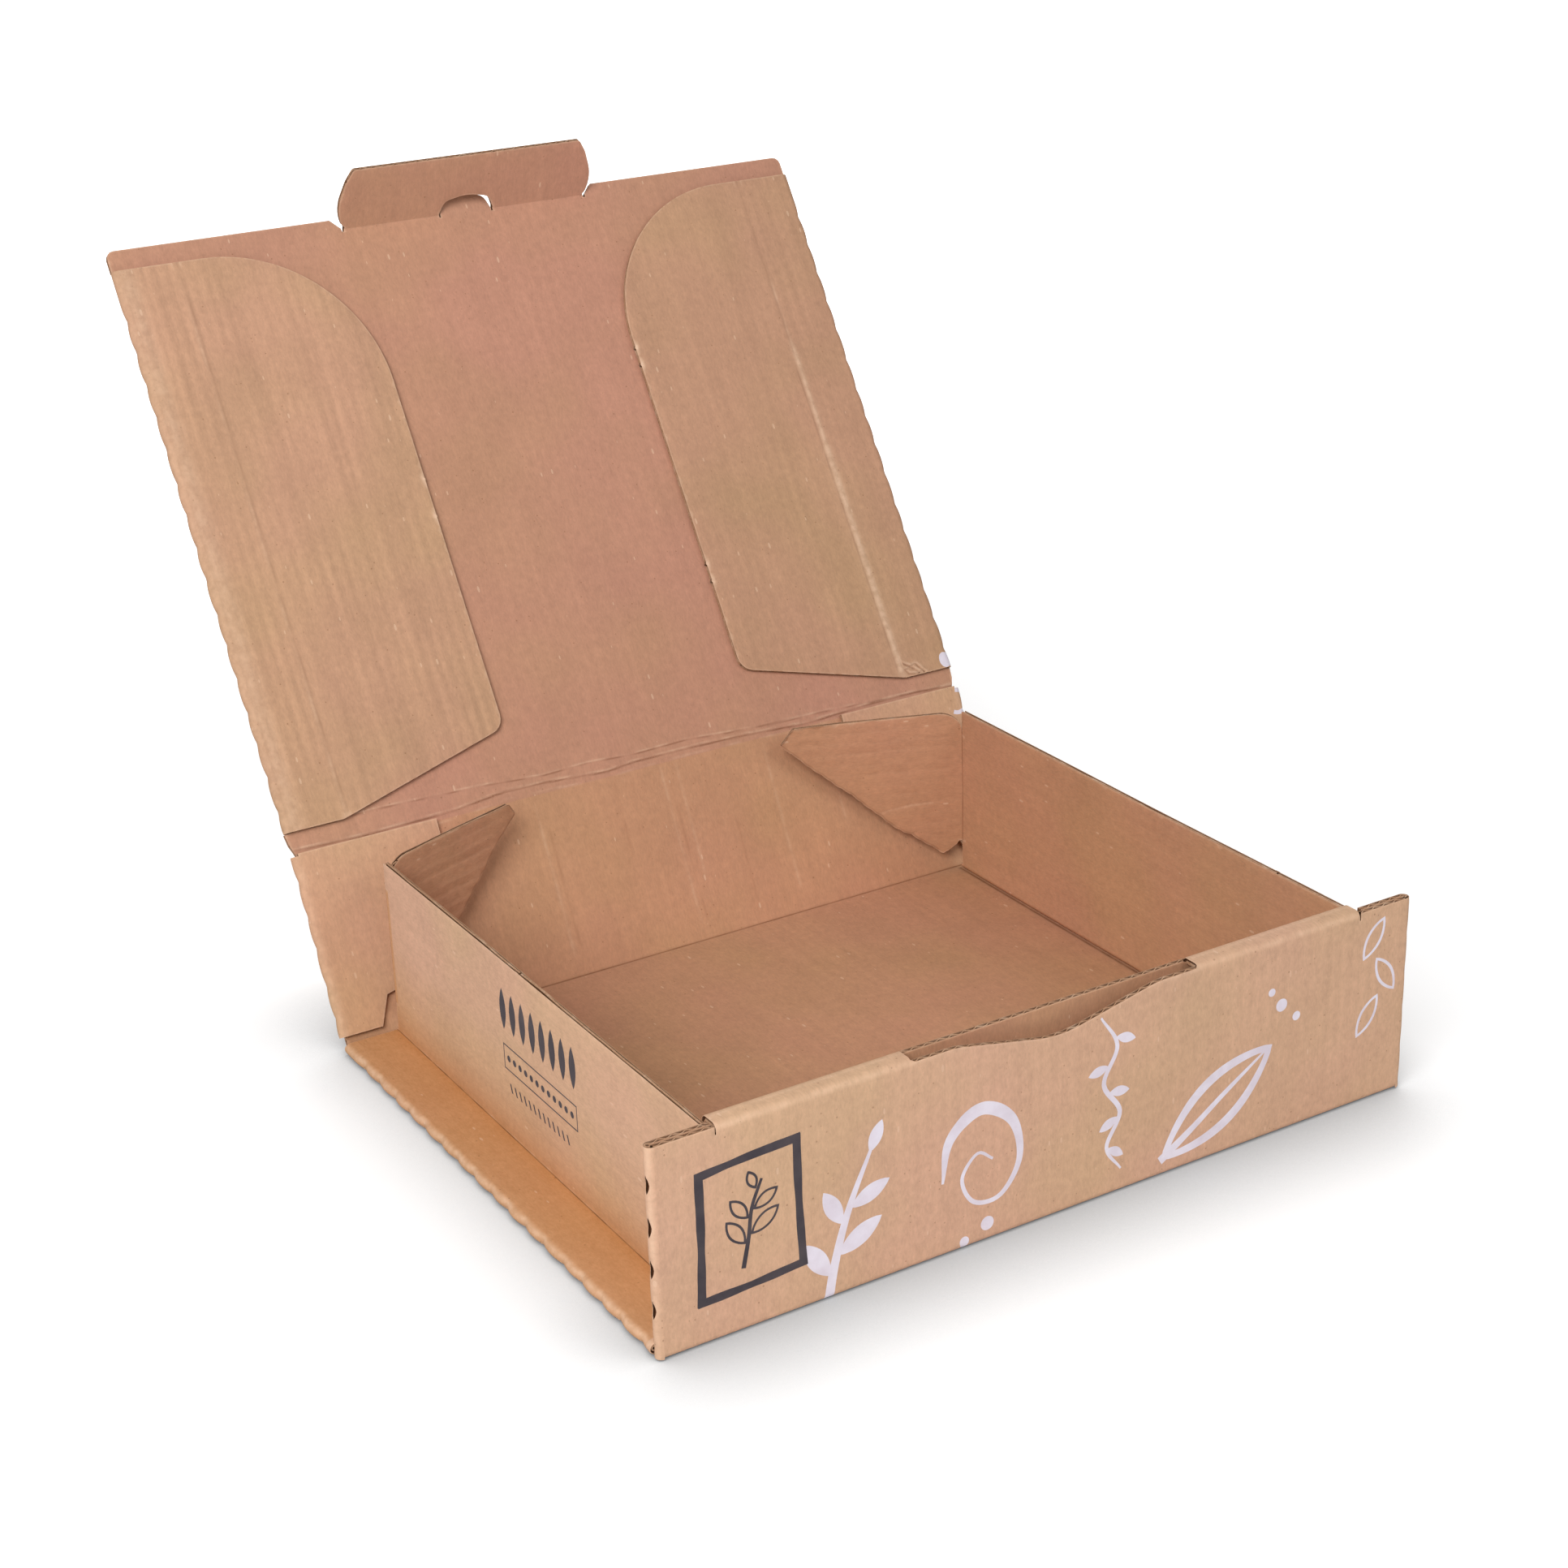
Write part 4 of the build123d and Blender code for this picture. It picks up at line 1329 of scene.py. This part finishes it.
corner_run = CORNER_BAND - crease_reach(CORNER_TURN, FOLD)
corner_path = Path((WALL_X, CORNER_Y - CORNER_BAND), 90, corner_run, (CORNER_TURN, FOLD), 400.0)
turn_length = corner_path.marks[2] - corner_path.marks[1]
CORNER_ROUND = 14
band_top = CORNER_HIGH + math.sqrt(CORNER_ROUND ** 2 - (CORNER_ROUND - CORNER_BAND) ** 2)


def corner_place(p, q, w):
    """Places a corner flap. q is measured to the sharp crease, and its band is stretched round the fold."""
    s = np.where(q > CORNER_BAND - 1e-6, q - CORNER_BAND, 0) + np.interp(
        q, [-CORNER_BAND, CORNER_BAND], [0, 2 * corner_run + turn_length]
    )
    points, normals = corner_path.at(s)
    return np.column_stack([points + normals * w[:, None], p])


def flap_edge(low, tip, radii):
    """A corner flap's lower edge, which was torn from flute to flute, and then its smooth tip."""
    low = np.array(low, float)
    length = lengths_along(low)[-1]
    run = np.arange(0, length, 1.6)
    line = sampled(low, run)
    fade = np.clip(np.minimum(run, length - run) / 5, 0, 1)
    out = fade * (0.4 * np.abs(np.sin(math.pi * run / 7.2 + 0.4)) + 0.4 * wobble(19, 14)(run) - 0.2)
    line = line + out[:, None] * left_normals(np.gradient(line, axis=0))
    root = [(19.0, 4.6), (15.6, 9.4), (14.4, 12.0)]
    return root + [tuple(point) for point in line] + rounded(tip, radii)[1:]


flap_edges = (
    flap_edge(
        [(15.0, 13.4), (20.6, 20.1), (28.1, 30.6), (29.6, 34.4), (36.3, 43.2), (44.0, 51.6), (58.0, 67.0),
         (68.3, 80.0), (77.5, 90.5), (84.0, 98.1)],
        [(84.0, 98.1), (87.1, 101.4), (96.3, 94.2), (WALL_TOP, 69.0)], [0.8, 1.0],
    ),
    flap_edge(
        [(15.4, 13.8), (29.0, 26.0), (40.0, 37.0), (56.4, 53.6), (70.2, 67.7), (80.5, 78.4), (84.0, 83.0)],
        [(84.0, 83.0), (90.0, 91.4), (96.5, 86.8), (WALL_TOP, 49.0)], [1.8, 1.2],
    ),
)
flap_top = [
    (CORNER_HIGH + CORNER_ROUND * math.sin(a), CORNER_ROUND - CORNER_ROUND * math.cos(a))
    for a in np.radians(np.linspace(88, 42, 8))
]
# Painted shade stripes along the corner flaps' flutes, over faint dents
flap_stripes = [
    Crease([(z, 5), (z + 0.6, z * 0.9 - 2)], 0.8, dent=0.12, dark=0.16, seed=80 + number, broken=0.9)
    for number, z in enumerate((26, 33.5, 39, 52.5, 58, 65.5, 71, 78.5, 84, 90.5))
]
for side, word in enumerate(("right", "left")):
    mirror, sign, edge = side == 1, 1 - 2 * side, flap_edges[side]
    crease = Board()
    crease.sheet(
        [[(CORNER_LOW, -CORNER_BAND), (CORNER_HIGH, -CORNER_BAND), (CORNER_HIGH, 0.1), (87.5, 1.0), (90, 2.1),
          (band_top, CORNER_BAND), (CORNER_LOW, CORNER_BAND)]],
        corner_place, rows_q=[-CORNER_BAND + 2 * CORNER_BAND * k / 9 for k in range(1, 9)],
        # Painted shade lines in the crease's hollow, on the inner face and the outer one
        creases=[Crease([(16, 0.4), (50, -0.1), (100, 0.3)], 0.5, dent=0.2, dark=0.9, seed=43, broken=0.15),
                 Crease([(16, 0.0), (50, -0.1), (100, 0.1)], 0.35, dark=0.6, side=-1, seed=46, broken=0.3)],
        # Painted orange light on the round of the wall's back edge, on its outer face
        painted_warm_light=lambda p, q: 0.6 * (q < 0),
        seams=[(1, -CORNER_BAND, CORNER_LOW, CORNER_HIGH), (1, CORNER_BAND, CORNER_LOW, band_top)],
        mirror=mirror,
    )
    bent(crease, word + "_corner_crease")
    flap = Board()
    flap.sheet(
        [[(band_top, CORNER_BAND), (CORNER_LOW, CORNER_BAND)] + edge + flap_top],
        corner_place, ripple(0.13, 71 + side),
        creases=[
            Crease([(41, 50), (43.5, 42), (45.2, 30), (45.6, 16)], 0.7, dent=0.25, worn=0.5, seed=44,
                   broken=0.4),
            # A painted shade line along the lower edge
            Crease([(z + 0.35, q - 0.35) for z, q in edge[3:]], 0.55, dark=0.8, seed=47, broken=0.35),
        ] + flap_stripes,
        seams=[(1, CORNER_BAND, CORNER_LOW, band_top)], mirror=mirror,
    )
    shown(flap, word + "_corner_flap", word + "_corner_flap")


# Creases of the back wall, the lid and the tuck flap

def add_crease(board, foot, out, up_in, path, outline, rows=8, **more):
    """A crease that spans the box. Its outline is given by p at the start and at the end of its path."""
    outline = [(p, path.length * share) for p, share in outline]
    board.sheet(
        [outline], cross_place(foot, out, up_in, path),
        rows_q=[path.length * k / rows for k in range(1, rows)],
        seams=[(1, q, -LID_X, LID_X) for q in (0, path.length)], **more,
    )


foot_path, hinge_path, tuck_path = (
    Path((0.0, 0.0), 0, band - crease_reach(turn, radius), (turn, radius), band - crease_reach(turn, radius))
    for turn, radius, band in (
        (WALL_TURN, FOLD, BACK_BAND), (LID_TURN, 4.0, HINGE_BAND), (TUCK_TURN, FOLD, TUCK_BAND),
    )
)
# The back wall's foot crease, with a painted shade line in its hollow
foot_crease = Board()
add_crease(
    foot_crease, wall_foot - BACK_BAND * BACK, BACK, UP, foot_path,
    both_halves([(SIDE_FOLD_X, 0), (SIDE_FOLD_X, 1)]),
    creases=[crease_across(foot_path.length / 2, 204, 1.0, dark=1.0, seed=45, broken=0.2)],
)
bent(foot_crease, "back_foot_crease",
     BACK_MATERIALS)
hinge_crease = Board()
add_crease(
    hinge_crease, lid_foot - HINGE_BAND * wall_up, wall_up, wall_in, hinge_path,
    both_halves([(SIDE_FOLD_X, 0), (LID_HINGE_X, 1)]), creases=hinge_lines(wall_head),
)
bent(hinge_crease, "lid_hinge_crease",
     LID_MATERIALS)
tuck_crease = Board()
for mirror in (False, True):
    add_crease(
        tuck_crease, tuck_foot - TUCK_BAND * lid_out, lid_out, lid_in, tuck_path,
        [(HALF_MOON_X, 0), (TUCK_ROOT_X, 0), (70.9, 1), (HALF_MOON_X, 1)], rows=6, mirror=mirror,
    )
bent(tuck_crease, "tuck_crease",
     LID_MATERIALS)

# Floor: pale to the eye, white further out, with a painted shadow, darker and grey, where it is close to the
# box
floor_nodes = Nodes("floor")
ray = floor_nodes.add("ShaderNodeLightPath").outputs
seen = floor_nodes.math("MAXIMUM", ray["Is Camera Ray"], ray["Is Glossy Ray"])
seen = floor_nodes.math("MAXIMUM", seen, ray["Is Transmission Ray"])
reach = floor_nodes.add("ShaderNodeVectorMath", {0: floor_nodes.solid}, operation="LENGTH").outputs["Value"]
# Painted shadow near the box, darker where nearby surfaces hide more of the surroundings
painted_contact_shadow = floor_nodes.add("ShaderNodeAmbientOcclusion", {"Distance": 0.07}, samples=8).outputs["AO"]
shade = floor_nodes.mix(floor_nodes.math("POWER", painted_contact_shadow, 1.2), (0.1, 0.11, 0.12, 1), (1.0, 1.0, 1.0, 1))
grey = floor_nodes.mix(1.0, shade, (0.5, 0.5, 0.5, 1), "MULTIPLY")
glow = floor_nodes.math("MULTIPLY", seen, floor_nodes.ramp(reach, 0.3, 1.1, 0.6, 0.97))
for socket, value in (
    ("Base Color", floor_nodes.mix(seen, (0.75, 0.75, 0.75, 1), grey)),
    ("Emission Color", shade), ("Emission Strength", glow),
):
    floor_nodes.tree.links.new(value, floor_nodes.shader.inputs[socket])
floor_nodes.shader.inputs["Roughness"].default_value = 1.0
floor_nodes.shader.inputs["Specular IOR Level"].default_value = 0.0
FLOOR_REACH, FLOOR_Z = 12, -0.0002
floor_mesh = bpy.data.meshes.new("floor")
floor_mesh.from_pydata(
    [(x * FLOOR_REACH, y * FLOOR_REACH, FLOOR_Z) for x, y in ((-1, -1), (1, -1), (1, 1), (-1, 1))], [],
    [(0, 1, 2, 3)],
)
floor_mesh.materials.append(floor_nodes.material)
floor = added("floor", floor_mesh)

# Light: surroundings that look white and shine weakly, a large soft lamp from the front left, a weaker one
# from the front right and one from behind
AMBIENT = 0.23
LAMP_AIM = (0, 0.1, 0.15)
world = bpy.data.worlds.new("studio")
world.use_nodes = True
background = world.node_tree.nodes["Background"]
background.inputs["Color"].default_value = (1.0, 1.0, 1.0, 1)
world_ray = world.node_tree.nodes.new("ShaderNodeLightPath").outputs["Is Camera Ray"]
world_strength = world.node_tree.nodes.new("ShaderNodeMapRange")
world_strength.inputs["To Min"].default_value = AMBIENT
world.node_tree.links.new(world_ray, world_strength.inputs["Value"])
world.node_tree.links.new(world_strength.outputs[0], background.inputs["Strength"])
bpy.context.scene.world = world


def softbox(name, direction, away, size, level):
    """A square lamp whose light is about that level where the box stands."""
    lamp = bpy.data.lights.new(name, "AREA")
    lamp.size = size
    lamp.energy = level * (math.pi * away) ** 2
    box = added(name, lamp)
    direction = Vector(direction).normalized()
    box.location = Vector(LAMP_AIM) + away * direction
    box.rotation_euler = direction.to_track_quat("Z", "Y").to_euler()


softbox("key", (-0.62, -0.50, 0.57), 2.2, 1.2, 0.9)
softbox("side", (0.45, -0.70, 0.55), 2.4, 1.2, 0.2)
softbox("fill", (0.50, 0.75, 0.34), 2.6, 1.8, 0.42)

# The camera, as fitted to the photograph: degrees, millimetres, and a focal length in pixels of its width
AZIMUTH, ELEVATION, ROLL = -30.816, 22.841, 1.895
DISTANCE, SHIFT_X, SHIFT_Y = 1343.191, 35.494, 137.208
FOCAL, PHOTO_WIDTH, SENSOR = 3423.970, 1932, 36.0
azimuth, elevation, roll = (math.radians(v) for v in (AZIMUTH, ELEVATION, ROLL))
ahead = np.array([
    -math.sin(azimuth) * math.cos(elevation), math.cos(azimuth) * math.cos(elevation), -math.sin(elevation)
])
side_way = np.cross(ahead, (0, 0, 1))
side_way /= np.linalg.norm(side_way)
down = np.cross(ahead, side_way)
right_way = math.cos(roll) * side_way + math.sin(roll) * down
down_way = -math.sin(roll) * side_way + math.cos(roll) * down
eye = -np.array([right_way, down_way, ahead]).T @ np.array([SHIFT_X, SHIFT_Y, DISTANCE]) * MM
camera_data = bpy.data.cameras.new("camera")
camera_data.sensor_fit = "HORIZONTAL"
camera_data.sensor_width = SENSOR
camera_data.lens = FOCAL / PHOTO_WIDTH * SENSOR
camera_data.clip_end = 60.0
camera = added("camera", camera_data)
turn_matrix = Matrix([right_way, -down_way, -ahead]).transposed().to_4x4()
camera.matrix_world = Matrix.Translation(Vector(eye)) @ turn_matrix
bpy.context.scene.camera = camera
bpy.context.scene.view_settings.view_transform = "Standard"
